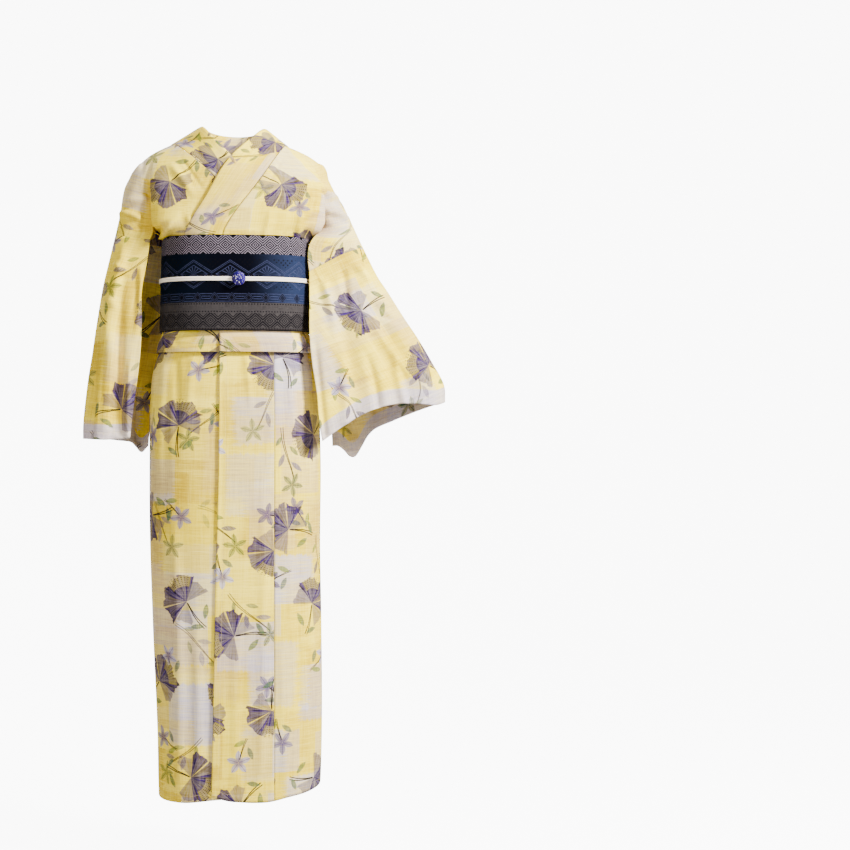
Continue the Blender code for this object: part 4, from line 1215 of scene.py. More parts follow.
@dataclass
class Wiring:
    """Adds nodes to a tree and links them, and draws the print's shapes; places are metres on the cloth."""

    tree: Tree

    def node(self, kind: str, inputs: dict | None = None, **settings: object) -> Node:
        """Adds a node.

        Args:
            kind: Its type, without the prefix.
            inputs: Values or sockets for its inputs, by name or number.
            settings: Its properties.

        Returns:
            The node.
        """
        made = self.tree.nodes.new("ShaderNode" + kind)
        for name, value in settings.items():
            setattr(made, name, value)
        return self.fill(made, inputs or {})

    def fill(self, node: Node, inputs: dict) -> Node:
        """Gives a node its inputs, by name or number."""
        for name, value in inputs.items():
            self.feed(node.inputs[name], value)
        return node

    def feed(self, socket: Socket, value: object) -> None:
        """Links a socket to a socket, or sets its value."""
        if isinstance(value, Socket):
            self.tree.links.new(value, socket)
        elif value is not None:
            if socket.type == "RGBA" and len(value) == 3:
                value = (*value, 1.0)
            socket.default_value = value

    def maths(self, operation: str, first: object, *others: object) -> Socket:
        """One sum on numbers; more than two are taken in turn."""
        for other in others or (None,):
            first = self.node("Math", {0: first, 1: other}, operation=operation).outputs[0]
        return first

    def add(self, *numbers: object) -> Socket:
        """The numbers' sum."""
        return self.maths("ADD", *numbers)

    def times(self, *numbers: object) -> Socket:
        """The numbers' product."""
        return self.maths("MULTIPLY", *numbers)

    def less(self, a: object, b: object) -> Socket:
        """a - b."""
        return self.maths("SUBTRACT", a, b)

    def most(self, *numbers: object) -> Socket:
        """The largest of the numbers."""
        return self.maths("MAXIMUM", *numbers)

    def part(self, value: object) -> Socket:
        """How far a value is past a whole number."""
        return self.maths("FRACT", value)

    def step(self, value: object, low: float, high: float) -> Socket:
        """0 at low and 1 at high, with an even turn between; high may be below low."""
        return self.node("MapRange", {"Value": value, "From Min": low, "From Max": high},
                         interpolation_type="SMOOTHSTEP").outputs[0]

    def near(self, value: object, centre: object, outer: float, inner: float) -> Socket:
        """1 within the inner distance of a centre, and 0 past the outer one."""
        return self.step(self.maths("ABSOLUTE", self.less(value, centre)), outer, inner)

    def between(self, value: object, a: float, b: float, c: float, d: float) -> Socket:
        """A mask that rises from a to b and falls from c to d."""
        return self.times(self.step(value, a, b), self.step(value, d, c))

    def ramp(self, value: object, low: float, high: float, start: float = 0.0, end: float = 1.0) -> Socket:
        """A straight change between two values, held at its ends."""
        return self.node("MapRange", {"Value": value, "From Min": low, "From Max": high,
                                                "To Min": start, "To Max": end}).outputs[0]

    def vector(self, operation: str, a: object, b: object = None) -> Socket:
        """One sum on vectors."""
        made = self.node("VectorMath", {0: a, 1: b}, operation=operation)
        return made.outputs["Value" if operation == "LENGTH" else "Vector"]

    def split(self, vector: Socket) -> Three:
        """x, y and z of a vector."""
        return tuple(self.node("SeparateXYZ", {0: vector}).outputs)

    def join(self, x: object, y: object, z: object = 0.0) -> Socket:
        """A vector of three numbers."""
        return self.node("CombineXYZ", {0: x, 1: y, 2: z}).outputs[0]

    def mapped(self, vector: Socket, scale: tuple = (1, 1, 1), move: tuple = (0, 0, 0)) -> Socket:
        """Coordinates scaled and moved."""
        return self.node("Mapping", {"Vector": vector, "Location": move, "Scale": scale}).outputs[0]

    def noise(self, vector: Socket, scale: tuple = (1, 1, 1), detail: float = 2.0,
              rough: float = 0.5) -> Socket:
        """A noise value from 0 to 1, on scaled coordinates."""
        return self.node("TexNoise", {"Vector": self.mapped(vector, scale), "Scale": 1.0,
                                                "Detail": detail, "Roughness": rough},
                         noise_dimensions="2D").outputs["Fac"]

    def blend(self, share: object, a: object, b: object, how: str = "MIX") -> Socket:
        """Mixes two colours."""
        return self.node("Mix", {0: share, 6: a, 7: b}, data_type="RGBA", blend_type=how,
                         clamp_factor=True).outputs[2]

    def bump(self, height: Socket, strength: float, distance: float) -> Socket:
        """The normal of a surface with a fine relief."""
        return self.node("Bump", {"Height": height, "Strength": strength,
                                            "Distance": distance}).outputs[0]

    def shades(self, value: Socket, colours: list[Triple]) -> Socket:
        """Picks one of several colours, each for an even share of the values from 0 to 1."""
        made = self.node("ValToRGB", {0: value})
        made.color_ramp.interpolation = "CONSTANT"
        while len(made.color_ramp.elements) < len(colours):
            made.color_ramp.elements.new(0.5)
        for k, (element, colour) in enumerate(zip(made.color_ramp.elements, colours)):
            element.position = k / len(colours)
            element.color = (*colour, 1.0)
        return made.outputs[0]

    def group(self, tree: Tree, **inputs: object) -> Node:
        """Places a node group with its inputs."""
        return self.node("Group", inputs, node_tree=tree)

    def chance(self, place: Socket) -> Three:
        """Three chance numbers of a cell."""
        made = self.node("TexWhiteNoise", {"Vector": place}, noise_dimensions="3D")
        return self.split(made.outputs["Color"])

    def placed(self, cloth: Socket, size: Pair, jitter: float, seed: float,
               turn: float) -> tuple[Socket, Three]:
        """Sets one motif in each cell of a brick layout, moved about and turned by chance.

        Args:
            cloth: Places on the cloth.
            size: The cell's width and height.
            jitter: Share of the cell over which the motif moves.
            seed: Picks the chance numbers.
            turn: The furthest that a motif turns, in radians.

        Returns:
            The place from the motif's centre, and three more chance numbers.
        """
        width, height = size
        x, y, _ = self.split(cloth)
        row = self.add(self.times(y, 1 / height), 0.37 * seed)
        line = self.maths("FLOOR", row)
        odd = self.maths("FLOORED_MODULO", line, 2.0)
        column = self.add(self.times(x, 1 / width), self.times(odd, 0.5), 0.61 * seed)
        stack = self.maths("FLOOR", column)
        a, b, c = self.chance(self.join(stack, line, seed))
        low, high = 0.5 - jitter / 2, 0.5 + jitter / 2
        local = self.join(*(self.times(self.less(self.part(place), self.ramp(luck, 0, 1, low, high)), side)
                            for place, luck, side in ((column, a, width), (row, b, height))))
        turned = self.node("VectorRotate", {"Vector": local, "Angle": self.ramp(c, 0, 1, -turn, turn)},
                           rotation_type="Z_AXIS").outputs[0]
        return turned, self.chance(self.join(stack, line, seed + 0.5))

    def seen_from(self, place: Socket, centre: Pair, angle: float, scale: float = 1.0) -> Socket:
        """A place in a motif part's own turned and scaled coordinates."""
        return self.node("Mapping", {"Vector": place, "Location": (*centre, 0.0),
                                               "Rotation": (0.0, 0.0, angle), "Scale": (scale, scale, 1.0)},
                         vector_type="TEXTURE").outputs[0]

    def leaf(self, place: Socket, centre: Pair, angle: float, length: float, width: float) -> Socket:
        """Mask of a pointed leaf: where two equal discs overlap."""
        share = width / length
        off = (1 - share**2) / (2 * share)
        at = self.seen_from(place, centre, angle, length / 2)
        reach = self.vector("LENGTH", self.vector("ADD", self.vector("ABSOLUTE", at), (0.0, off, 0.0)))
        rim = math.hypot(1.0, off)
        return self.step(reach, rim, rim - 0.05)

    def star(self, place: Socket, centre: Pair, angle: float, count: int, length: float,
             width: float) -> tuple[Socket, Socket]:
        """Leaves round a point: the turn is folded into one leaf's share.

        Returns:
            The mask of the leaves, and that of their middle veins.
        """
        at = self.seen_from(place, centre, angle)
        x, y, _ = self.split(at)
        part = math.tau / count
        folded = self.node("Math", {0: self.maths("ARCTAN2", y, x), 1: part / 2, 2: -part / 2},
                           operation="WRAP").outputs[0]
        reach = self.vector("LENGTH", at)
        side = self.times(reach, self.maths("SINE", folded))
        one = self.join(self.times(reach, self.maths("COSINE", folded)), side)
        mask = self.leaf(one, (length / 2, 0.0), 0.0, length, width)
        return mask, self.times(mask, self.near(side, 0.0, 0.0007, 0.0003))

    def leaves(self, place: Socket, colour: Socket, share: object, rows: tuple) -> tuple[Socket, Socket]:
        """Paints leaves.

        Args:
            place: The place from the motif's centre.
            colour: What they are painted on.
            share: How strongly.
            rows: Each leaf's centre, angle, length, width and dye.

        Returns:
            The colour, and the mask of the leaves.
        """
        blades = []
        for x, y, angle, length, width, dye in rows:
            blades.append(self.leaf(place, (x, y), angle, length, width))
            colour = self.blend(self.times(blades[-1], share), colour, dye)
        return colour, self.most(*blades)

    def stem(self, place: Socket, low: float, high: float, bend: float, gap: float, half: float) -> Socket:
        """Mask of a pair of thin stems along y, bent as a sine and half a gap from each other's middle."""
        x, y, _ = self.split(place)
        off = self.less(x, self.times(self.maths("SINE", self.times(y, 38.0)), bend))
        parting = self.ramp(y, low, high, gap, gap * 0.1)
        line = self.near(self.maths("ABSOLUTE", off), parting, half, half * 0.45)
        return self.times(line, self.between(y, low, low + 0.003, high - 0.003, high))

    def dots(self, across: Socket, along_it: Socket, radius: float) -> Socket:
        """Mask of a dot in each unit cell."""
        u, v = self.less(self.part(across), 0.5), self.less(self.part(along_it), 0.5)
        return self.step(self.vector("LENGTH", self.join(u, v)), radius, radius * 0.6)


def node_group(name: str, inputs: dict, outputs: dict) -> tuple[Wiring, list[Socket], Node]:
    """Starts a shader node group.

    Args:
        name: Its name.
        inputs: Type of each input, by name.
        outputs: The outputs' types.

    Returns:
        Its wiring, its inputs, and its output node.
    """
    group = bpy.data.node_groups.new(name, "ShaderNodeTree")
    for way, sockets in (("INPUT", inputs), ("OUTPUT", outputs)):
        for word, kind in sockets.items():
            group.interface.new_socket(word, in_out=way, socket_type=f"NodeSocket{kind}")
    start, end = group.nodes.new("NodeGroupInput"), group.nodes.new("NodeGroupOutput")
    return Wiring(group), list(start.outputs)[:len(inputs)], end


def motif_group(name: str) -> tuple[Wiring, Socket, Socket, Node]:
    """Starts a group that prints a motif: its wiring, ground and cloth, and its output node."""
    w, (ground, cloth), out = node_group(name, {"Ground": "Color", "Cloth": "Vector"},
                                         {"Color": "Color", "Ink": "Float"})
    return w, ground, cloth, out


@dataclass(frozen=True)
class Dyes:
    """Colours of the cotton's ground and print, scene-linear."""

    lemon: Triple = (0.72, 0.525, 0.008)
    pale: Triple = (0.9, 0.7, 0.066)
    gold: Triple = (0.53, 0.35, 0.004)
    amber: Triple = (0.43, 0.262, 0.003)
    lavender: Triple = (0.41, 0.37, 0.48)
    beige: Triple = (0.5, 0.34, 0.18)
    cream: Triple = (0.95, 0.77, 0.23)
    mauve: Triple = (0.104, 0.078, 0.122)
    ash: Triple = (0.024, 0.015, 0.034)
    violet: Triple = (0.026, 0.005, 0.094)
    plum: Triple = (0.003, 0.001, 0.005)
    sage: Triple = (0.038, 0.076, 0.048)
    lime: Triple = (0.11, 0.15, 0.01)
    pollen: Triple = (0.92, 0.7, 0.08)
    ink: Triple = (0.006, 0.004, 0.006)


DYES = Dyes()


class Groups:
    """The node groups that several finishes share, each made once."""

    # Fan petals: turn from the axis, half spread, reach, cover, darkness, place of a dark streak or None
    PETALS = ((-2.22, 0.44, 0.04, 0.64, 0.05, None), (-1.42, 0.38, 0.047, 0.94, 1.1, -0.18),
              (1.5, 0.46, 0.043, 0.72, 0.1, None), (-0.62, 0.42, 0.05, 0.88, 0.3, 0.16),
              (0.08, 0.46, 0.045, 0.98, 1.6, -0.2), (0.8, 0.36, 0.049, 0.94, 1.4, 0.05))
    # Brushed dabs: cell width and height, chance number seed, the dyes it is picked from, their cover
    DABS = (
        ((0.17, 0.128), 1.0, ("gold", "lemon", "lavender", "gold", "lemon", "beige"), 0.95),
        ((0.128, 0.104), 2.0, ("pale", "gold", "lavender", "lemon", "amber"), 0.7),
        ((0.097, 0.134), 3.0, ("lavender", "pale", "gold", "lemon", "beige"), 0.6),
    )

    def __init__(self) -> None:
        """Builds every group."""
        self.weave = self.slub_weave()
        self.ground = self.brushed_ground()
        self.bloom = self.fan_bloom()
        self.sprig = self.leafy_sprig()
        self.floret = self.small_flower()
        self.edge = self.sewn_edge()

    @staticmethod
    def slub_weave() -> Tree:
        """Uneven yarns both ways: stretched noise along warp and weft, thicker here and there."""
        w, (cloth,), out = node_group("slub_weave", {"Cloth": "Vector"},
                                      {"Streak": "Float", "Height": "Float"})
        warp = w.noise(cloth, (1100, 18, 1), detail=3.0, rough=0.65)
        weft = w.noise(cloth, (26, 900, 1), detail=3.0, rough=0.65)
        slub = w.noise(cloth, (12, 260, 1), rough=0.6)
        upright = w.noise(cloth, (300, 9, 1), rough=0.6)
        w.fill(out, {
            "Streak": w.add(w.times(warp, 0.28), w.times(weft, 0.34), w.times(slub, 0.22),
                            w.times(upright, 0.16)),
            "Height": w.add(w.times(warp, 0.4), w.times(weft, 0.5), w.times(w.step(slub, 0.56, 0.72), 0.35)),
        })
        return w.tree

    def brushed_ground(self) -> Tree:
        """Broad dabs laid over each other: boxes with dry brush ends, each of a dye picked by chance."""
        w, (cloth,), out = node_group("brushed_ground", {"Cloth": "Vector"}, {"Color": "Color"})
        bristle = w.noise(cloth, (20, 520, 1), detail=3.0, rough=0.75)
        lift = w.noise(cloth, (160, 12, 1), rough=0.6)
        worn = w.ramp(bristle, 0.32, 0.6, 0.45, 1.0)
        colour = w.blend(w.step(w.noise(cloth, (5, 7, 1), detail=1.0), 0.35, 0.65), DYES.pale, DYES.lemon)
        for (width, height), seed, names, cover in self.DABS:
            place, (pick, wide, strong) = w.placed(cloth, (width, height), 0.45, seed, 0.1)
            x, y, _ = w.split(place)
            end = w.add(w.maths("ABSOLUTE", x), w.times(w.less(bristle, 0.5), 0.06))
            side = w.add(w.maths("ABSOLUTE", y), w.times(w.less(lift, 0.5), 0.014))
            past = w.less(end, w.ramp(wide, 0, 1, 0.34 * width, 0.52 * width))
            share = w.times(w.step(past, 0.004, -0.004), w.step(side, 0.47 * height, 0.42 * height), worn,
                            w.ramp(strong, 0, 1, 0.45 * cover, 1.15 * cover))
            colour = w.blend(share, colour, w.shades(pick, [getattr(DYES, name) for name in names]))
        w.fill(out, {"Color": colour})
        return w.tree

    def fan_bloom(self) -> Tree:
        """A made-up bloom: veined, see-through fan petals, dotted stamens, twin stems and two leaves."""
        w, colour, cloth, out = motif_group("fan_bloom")
        place, (kept, other, tone) = w.placed(cloth, (0.152, 0.16), 0.22, 11.0, math.pi)
        keep = w.step(kept, 0.93, 0.92)
        x, y, _ = w.split(place)
        reach = w.vector("LENGTH", place)
        turn = w.maths("ARCTAN2", x, y)
        wave = w.noise(place, (70, 70, 1))
        frill = w.maths("COSINE", w.add(w.times(turn, 8.5), w.times(other, 6.0)))
        wavy = w.add(w.times(reach, w.ramp(frill, -1, 1, 0.95, 1.07)), w.times(w.less(wave, 0.5), 0.016))
        rays = w.join(w.times(turn, 11.0), w.times(reach, 26.0))
        streak = w.step(w.noise(rays, detail=3.0, rough=0.7), 0.36, 0.62)
        pale = w.blend(streak, DYES.ash, DYES.mauve)
        deep = w.blend(streak, DYES.plum, DYES.violet)
        masks = []
        for angle, half, far, cover, dark, line in self.PETALS:
            off = w.less(turn, w.add(angle, w.ramp(tone, 0, 1, -0.14, 0.14)))
            share = w.times(w.near(off, 0.0, half, half - 0.05), w.step(wavy, far, far - 0.0012), keep)
            shade = w.times(w.ramp(wavy, 0.35 * far, 0.98 * far, 0, dark), w.ramp(wave, 0.3, 0.6, 0.55, 1.0))
            colour = w.blend(w.times(share, cover), colour, w.blend(shade, pale, deep))
            if line is not None:
                ray = w.times(w.near(off, line, 0.115, 0.03), share, w.step(wavy, 0.92 * far, 0.7 * far))
                colour = w.blend(w.times(ray, 0.95), colour, deep)
            masks.append(share)
        face = w.times(w.near(turn, 0.35, 0.62, 0.5), keep)
        spots = w.dots(w.times(turn, 7.0), w.times(reach, 300.0), 0.3)
        ring = w.between(reach, 0.027, 0.03, 0.047, 0.05)
        hair = w.times(w.near(w.part(w.times(turn, 3.5)), 0.5, 0.05, 0.02),
                       w.between(reach, 0.024, 0.026, 0.042, 0.045))
        colour = w.blend(w.times(face, ring, 0.22), colour, DYES.pollen)
        marks = w.times(w.most(w.times(hair, 0.5), spots), w.most(ring, hair), face)
        colour = w.blend(marks, colour, DYES.ink)
        stems = w.times(w.stem(place, -0.06, -0.001, 0.006, 0.0026, 0.00135), keep)
        green = w.blend(streak, DYES.sage, DYES.lime)
        colour, _ = w.leaves(place, w.blend(stems, colour, DYES.plum), w.times(keep, 0.85), (
            (0.016, -0.036, 0.7, 0.03, 0.011, green), (-0.015, -0.047, 2.5, 0.026, 0.01, green)))
        w.fill(out, {"Color": colour, "Ink": w.most(*masks, stems)})
        return w.tree

    @staticmethod
    def leafy_sprig() -> Tree:
        """A sprig: a thin stem with leaves on both sides, and a head of five pointed leaves."""
        w, colour, cloth, out = motif_group("leafy_sprig")
        place, (kept, pick, fade) = w.placed(cloth, (0.152, 0.196), 0.22, 23.0, 0.9)
        keep = w.times(w.step(kept, 0.9, 0.89), w.ramp(fade, 0, 1, 0.75, 1.0))
        vein = w.step(w.noise(place, (500, 60, 1)), 0.4, 0.62)
        green = w.blend(pick, DYES.sage, DYES.lime)
        dusk = w.blend(pick, DYES.mauve, DYES.ash)
        green = w.blend(vein, green, w.blend(0.2, green, DYES.pale))
        dusk = w.blend(vein, dusk, w.blend(0.2, dusk, DYES.lavender))
        stems = w.stem(place, -0.066, 0.04, 0.005, 0.0022, 0.00105)
        colour = w.blend(w.times(stems, keep), colour, DYES.plum)
        colour, blades = w.leaves(place, colour, w.times(keep, 0.85), (
            (0.013, -0.018, 0.95, 0.026, 0.009, green), (-0.014, -0.004, 2.15, 0.028, 0.01, dusk),
            (0.014, 0.012, 0.8, 0.03, 0.01, dusk), (-0.013, -0.04, 2.3, 0.022, 0.008, green)))
        head, ribs = w.star(place, (0.0, 0.044), 0.3, 5, 0.024, 0.0105)
        colour = w.blend(w.times(head, keep, 0.8), colour, green)
        colour = w.blend(w.times(ribs, keep, 0.75), colour, DYES.plum)
        w.fill(out, {"Color": colour, "Ink": w.times(w.most(stems, blades, head), keep)})
        return w.tree

    @staticmethod
    def small_flower() -> Tree:
        """A small flower of five pointed petals, on a short stem with two leaves."""
        w, colour, cloth, out = motif_group("small_flower")
        place, (kept, pick, _) = w.placed(cloth, (0.187, 0.143), 0.42, 37.0, math.pi)
        keep = w.step(kept, 0.84, 0.83)
        petals, ribs = w.star(place, (0.0, 0.0), 0.5, 5, 0.023, 0.0115)
        rim = w.step(w.vector("LENGTH", place), 0.014, 0.003)
        dye = w.blend(w.times(rim, 0.8), w.blend(pick, DYES.mauve, DYES.lavender), DYES.violet)
        colour = w.blend(w.times(petals, keep, 0.82), colour, dye)
        colour = w.blend(w.times(ribs, keep, 0.7), colour, DYES.violet)
        stems = w.times(w.stem(place, -0.048, -0.004, 0.004, 0.0014, 0.0009), keep)
        colour, _ = w.leaves(place, w.blend(stems, colour, DYES.plum), w.times(keep, 0.8), (
            (0.013, -0.024, 0.8, 0.026, 0.01, DYES.sage), (-0.012, -0.033, 2.3, 0.026, 0.01, DYES.lime)))
        w.fill(out, {"Color": colour, "Ink": w.most(w.times(petals, keep), stems)})
        return w.tree

    @staticmethod
    def sewn_edge() -> Tree:
        """A turned-in hem: a crease at its depth, and small stitches along the crease."""
        w, (edges, cloth, side_depth, foot_depth), out = node_group(
            "sewn_edge", {"Edges": "Vector", "Cloth": "Vector", "Side depth": "Float", "Foot depth": "Float"},
            {"Hem": "Float", "Crease": "Float", "Stitch": "Float"})
        side, foot, _ = w.split(edges)
        off = w.maths("MINIMUM", w.less(side, side_depth), w.less(foot, foot_depth))
        x, y, _ = w.split(cloth)
        bar = w.near(w.part(w.times(w.add(x, y), 1 / 0.011)), 0.5, 0.11, 0.07)
        w.fill(out, {"Hem": w.step(off, 0.0004, -0.0004), "Crease": w.near(off, 0.0, 0.0011, 0.0001),
                     "Stitch": w.times(w.near(off, -0.0016, 0.0006, 0.0003), bar)})
        return w.tree


@dataclass(frozen=True)
class Finish:
    """A material."""

    name: str

    def build(self) -> Material:
        """Makes the material."""
        material = bpy.data.materials.new(self.name)
        material.use_nodes = True
        w = Wiring(material.node_tree)
        w.fill(material.node_tree.nodes["Principled BSDF"], self.look(w))
        return material

    def look(self, w: Wiring) -> dict[str, object]:
        """The shader's inputs, by name."""
        raise NotImplementedError


@dataclass(frozen=True)
class CottonFinish(Finish):
    """Light slub cotton with a brushed ground, a loose flower print, and turned-in, stitched edges.

    Shift is where on the printed cloth the piece was cut, side and hem are how deep its free edge and foot
    are turned in, and band is the height of the greyer band along the foot.
    """

    groups: Groups
    shift: Pair
    side: float = SEAM
    hem: float = 0.013
    band: float = 0.0
    shadow: Triple = (0.62, 0.56, 0.52)
    # Painted shade along the crease of a turned-in hem.
    crease: Triple = (0.4, 0.3, 0.12)
    thread: Triple = (0.5, 0.36, 0.14)

    def look(self, w: Wiring) -> dict[str, object]:
        """The shader's inputs, by name."""
        cloth = w.node("UVMap", uv_map="cloth").outputs[0]
        edges = w.node("UVMap", uv_map="edges").outputs[0]
        moved = w.mapped(cloth, move=(*self.shift, 0.0))
        colour = w.group(self.groups.ground, Cloth=moved).outputs["Color"]
        if self.band:
            foot = w.split(edges)[1]
            colour = w.blend(w.times(w.step(foot, self.band, self.band - 0.003), 0.78), colour, DYES.lavender)
        inks = []
        for tree in (self.groups.sprig, self.groups.floret, self.groups.bloom):
            drawn = w.group(tree, Ground=colour, Cloth=moved)
            colour = drawn.outputs["Color"]
            inks.append(drawn.outputs["Ink"])
        weave = w.group(self.groups.weave, Cloth=moved)
        edge = w.fill(w.group(self.groups.edge, Edges=edges, Cloth=cloth),
                      {"Side depth": self.side, "Foot depth": self.hem})
        streak, crease, stitch = weave.outputs["Streak"], edge.outputs["Crease"], edge.outputs["Stitch"]
        light = w.times(w.ramp(streak, 0.5, 0.62, 0.0, 0.28), w.ramp(w.most(*inks), 0.0, 1.0, 1.0, 0.3))
        colour = w.blend(light, colour, DYES.cream)
        shaded = w.blend(1.0, colour, self.shadow, "MULTIPLY")
        colour = w.blend(w.ramp(streak, 0.51, 0.38, 0.0, 0.6), colour, shaded)
        # Painted shade: the hem's crease line is darkened.
        colour = w.blend(w.times(crease, 0.3), colour, self.crease)
        colour = w.blend(w.times(stitch, 0.55), colour, self.thread)
        raised = w.add(weave.outputs["Height"], w.times(edge.outputs["Hem"], 1.2))
        sunk = w.add(w.times(stitch, 1.5), w.times(crease, 0.8))
        return {
            "Base Color": colour, "Roughness": w.ramp(streak, 0.35, 0.65, 0.86, 0.74),
            "Specular IOR Level": 0.08,
            "Sheen Weight": 0.02, "Sheen Roughness": 0.45, "Sheen Tint": (1.0, 0.94, 0.76),
            "Normal": w.bump(w.less(raised, sunk), 0.5, 0.0005),
        }


@dataclass(frozen=True)
class BeltBand:
    """A woven band: top, foot and mirror line below the belt's top; its diamonds' width, place and slope."""

    top: float
    foot: float
    middle: float
    period: float
    start: float
    slope: float


@dataclass(frozen=True)
class BeltFinish(Finish):
    """Figured belt weave: traditional lozenge and zigzag bands across, in grey, navy and warm grey.

    It is plain further than figured from the front centre, and all over where that is 0.
    """

    figured: float = 0.3
    upper: BeltBand = BeltBand(0.0015, 0.0356, 0.0191, 0.0273, 0.0083, 0.9)
    wide: BeltBand = BeltBand(0.0446, 0.0999, 0.0732, 0.0674, -0.0105, 0.64)
    small: BeltBand = BeltBand(0.1069, 0.1254, 0.1162, 0.0313, 0.0236, 1.15)
    lower: BeltBand = BeltBand(0.145, 0.1712, 0.1585, 0.0273, -0.019, 0.9)
    grey_band: Pair = (0.1254, 0.177)
    dot_rows: Triple = (0.128, 0.142, 0.1732)
    dot_pitch: float = 0.0053
    black: Triple = (0.0022, 0.0018, 0.003)
    lilac: Triple = (0.172, 0.142, 0.166)
    navy: Triple = (0.0004, 0.0006, 0.0028)
    teal: Triple = (0.0004, 0.0028, 0.0075)
    # Lighter slate towards the wearer's left end: painted sheen, on the side that the key light comes from.
    painted_sheen_slate: Triple = (0.013, 0.02, 0.048)
    line: Triple = (0.034, 0.038, 0.08)
    warm: Triple = (0.036, 0.031, 0.03)
    shadow: Triple = (0.35, 0.35, 0.4)

    def look(self, w: Wiring) -> dict[str, object]:
        """The shader's inputs, by name."""
        cloth = w.node("UVMap", uv_map="cloth").outputs[0]
        heather = w.add(w.times(w.noise(cloth, (1700, 60, 1)), 0.5),
                        w.times(w.noise(cloth, (90, 1900, 1)), 0.5))
        x, y, _ = w.split(cloth)
        y = w.less(y, -LEVELS.belt_top)
        # Teal towards the wearer's right end; lighter slate towards the wearer's left end, as painted sheen.
        colour = w.blend(w.step(x, -0.02, -0.13), self.navy, self.teal)
        colour = w.blend(w.step(x, 0.02, 0.12), colour, self.painted_sheen_slate)
        height = heather
        if self.figured:
            shown = w.near(x, 0.0, self.figured, self.figured - 0.004)
            colour, figure = self.figures(w, x, y, colour)
            colour = w.blend(shown, self.navy, colour)
            height = w.add(heather, w.times(figure, shown, 0.8))
        shaded = w.blend(1.0, colour, self.shadow, "MULTIPLY")
        return {
            "Base Color": w.blend(w.ramp(heather, 0.36, 0.64, 0.75, 0.0), colour, shaded),
            "Roughness": w.ramp(heather, 0.3, 0.7, 0.62, 0.5), "Specular IOR Level": 0.02,
            "Normal": w.bump(height, 0.6, 0.0004),
        }

    @staticmethod
    def lozenge(w: Wiring, x: Socket, y: Socket, band: BeltBand) -> tuple[Socket, Socket]:
        """How far a place is from the nearest diamond's middle, along the slope, and the mask of the band."""
        half = band.period / 2
        across = w.less(half, w.maths("PINGPONG", w.add(x, half - band.start), half))
        away = w.add(w.times(across, band.slope), w.maths("ABSOLUTE", w.less(y, band.middle)))
        soft = 0.0002
        return away, w.between(y, band.top - soft, band.top + soft, band.foot - soft, band.foot + soft)

    @staticmethod
    def rings(w: Wiring, away: Socket, *lines: Pair) -> Socket:
        """Mask of lines, each given by its distance and half width in millimetres."""
        return w.most(*(w.near(away, place * MILLIMETRE, (half + 0.1) * MILLIMETRE, (half - 0.1) * MILLIMETRE)
                        for place, half in lines))

    @staticmethod
    def lattice(w: Wiring, x: Socket, y: Socket, band: BeltBand, pitch: float) -> Socket:
        """Dots on a slanted grid about the band's middle."""
        off_x, off_y = w.less(x, band.start), w.less(y, band.middle)
        u, v = w.times(w.add(off_x, off_y), 1 / pitch), w.times(w.less(off_x, off_y), 1 / pitch)
        return w.dots(w.add(u, 0.5), w.add(v, 0.5), 0.3)

    def figures(self, w: Wiring, x: Socket, y: Socket, ground: Socket) -> tuple[Socket, Socket]:
        """The bands from the top to the foot.

        Args:
            w: The material's wiring.
            x: Place along the belt.
            y: Place below its top.
            ground: What the bands are woven on.

        Returns:
            The colour, and the mask of the raised figures.
        """
        away, inside = self.lozenge(w, x, y, self.upper)
        stripes = self.rings(w, away, (4.5, 0.8), (9.0, 0.9), (13.7, 1.0), (18.4, 1.0), (23.0, 1.0))
        tip = w.times(w.step(away, 0.0243, 0.0247), inside)
        upper = w.times(inside, w.most(stripes, w.step(away, 0.0016, 0.0012)), w.less(1.0, tip))
        colour = w.blend(upper, w.blend(inside, ground, self.black), self.lilac)
        away, inside = self.lozenge(w, x, y, self.wide)
        lines = self.rings(w, away, (26.2, 0.5), (23.2, 0.4), (16.5, 0.5))
        fill = w.times(w.step(away, 0.0155, 0.015), self.fans(w, x, y), 0.8)
        wide = w.times(inside, w.most(lines, fill))
        hung = w.times(w.step(away, 0.033, 0.0335), self.lattice(w, x, y, self.wide, 0.009), inside, 0.9)
        colour = w.blend(wide, w.blend(hung, colour, self.black), self.line)
        away, inside = self.lozenge(w, x, y, self.small)
        lines = self.rings(w, away, (9.2, 0.5), (5.5, 0.4))
        bars = w.near(w.part(w.times(w.less(y, self.small.top), 1 / 0.0046)), 0.5, 0.16, 0.12)
        small = w.times(inside, w.most(lines, w.times(w.step(away, 0.0112, 0.0116), bars)))
        gem = w.times(w.step(away, 0.0088, 0.0084), inside, 0.7)
        colour = w.blend(w.times(small, 0.75), w.blend(gem, colour, self.black), self.line)
        top, foot = self.grey_band
        grey = w.between(y, top - 0.0003, top + 0.0003, foot - 0.0003, foot)
        away, inside = self.lozenge(w, x, y, self.lower)
        marks = self.rings(w, away, (4.8, 0.8), (9.4, 1.0), (14.0, 1.4), (18.6, 0.9))
        lower = w.times(inside, w.most(marks, w.step(away, 0.0018, 0.0014)))
        across = w.times(x, 1 / self.dot_pitch)
        rows = [w.times(w.dots(across, w.add(w.times(w.less(y, level), 1 / 0.004), 0.5), 0.33),
                        w.near(y, level, 0.0019, 0.0017)) for level in self.dot_rows]
        dark = w.most(lower, *rows)
        selvedge = w.most(w.step(y, 0.0016, 0.0012), w.step(y, 0.1752, 0.1756))
        colour = w.blend(w.most(dark, selvedge), w.blend(grey, colour, self.warm), self.black)
        return colour, w.most(upper, wide, small, w.times(grey, w.less(1.0, dark)))

    def fans(self, w: Wiring, x: Socket, y: Socket) -> Socket:
        """Ribs that spread from the wide diamonds' middles, like an open fan."""
        half = self.wide.period / 2
        across = w.less(w.maths("FLOORED_MODULO", w.add(x, half - self.wide.start), self.wide.period), half)
        down = w.add(w.maths("ABSOLUTE", w.less(y, self.wide.middle)), 0.0005)
        return w.near(w.part(w.times(w.maths("ARCTAN2", across, down), 2.2)), 0.5, 0.16, 0.1)


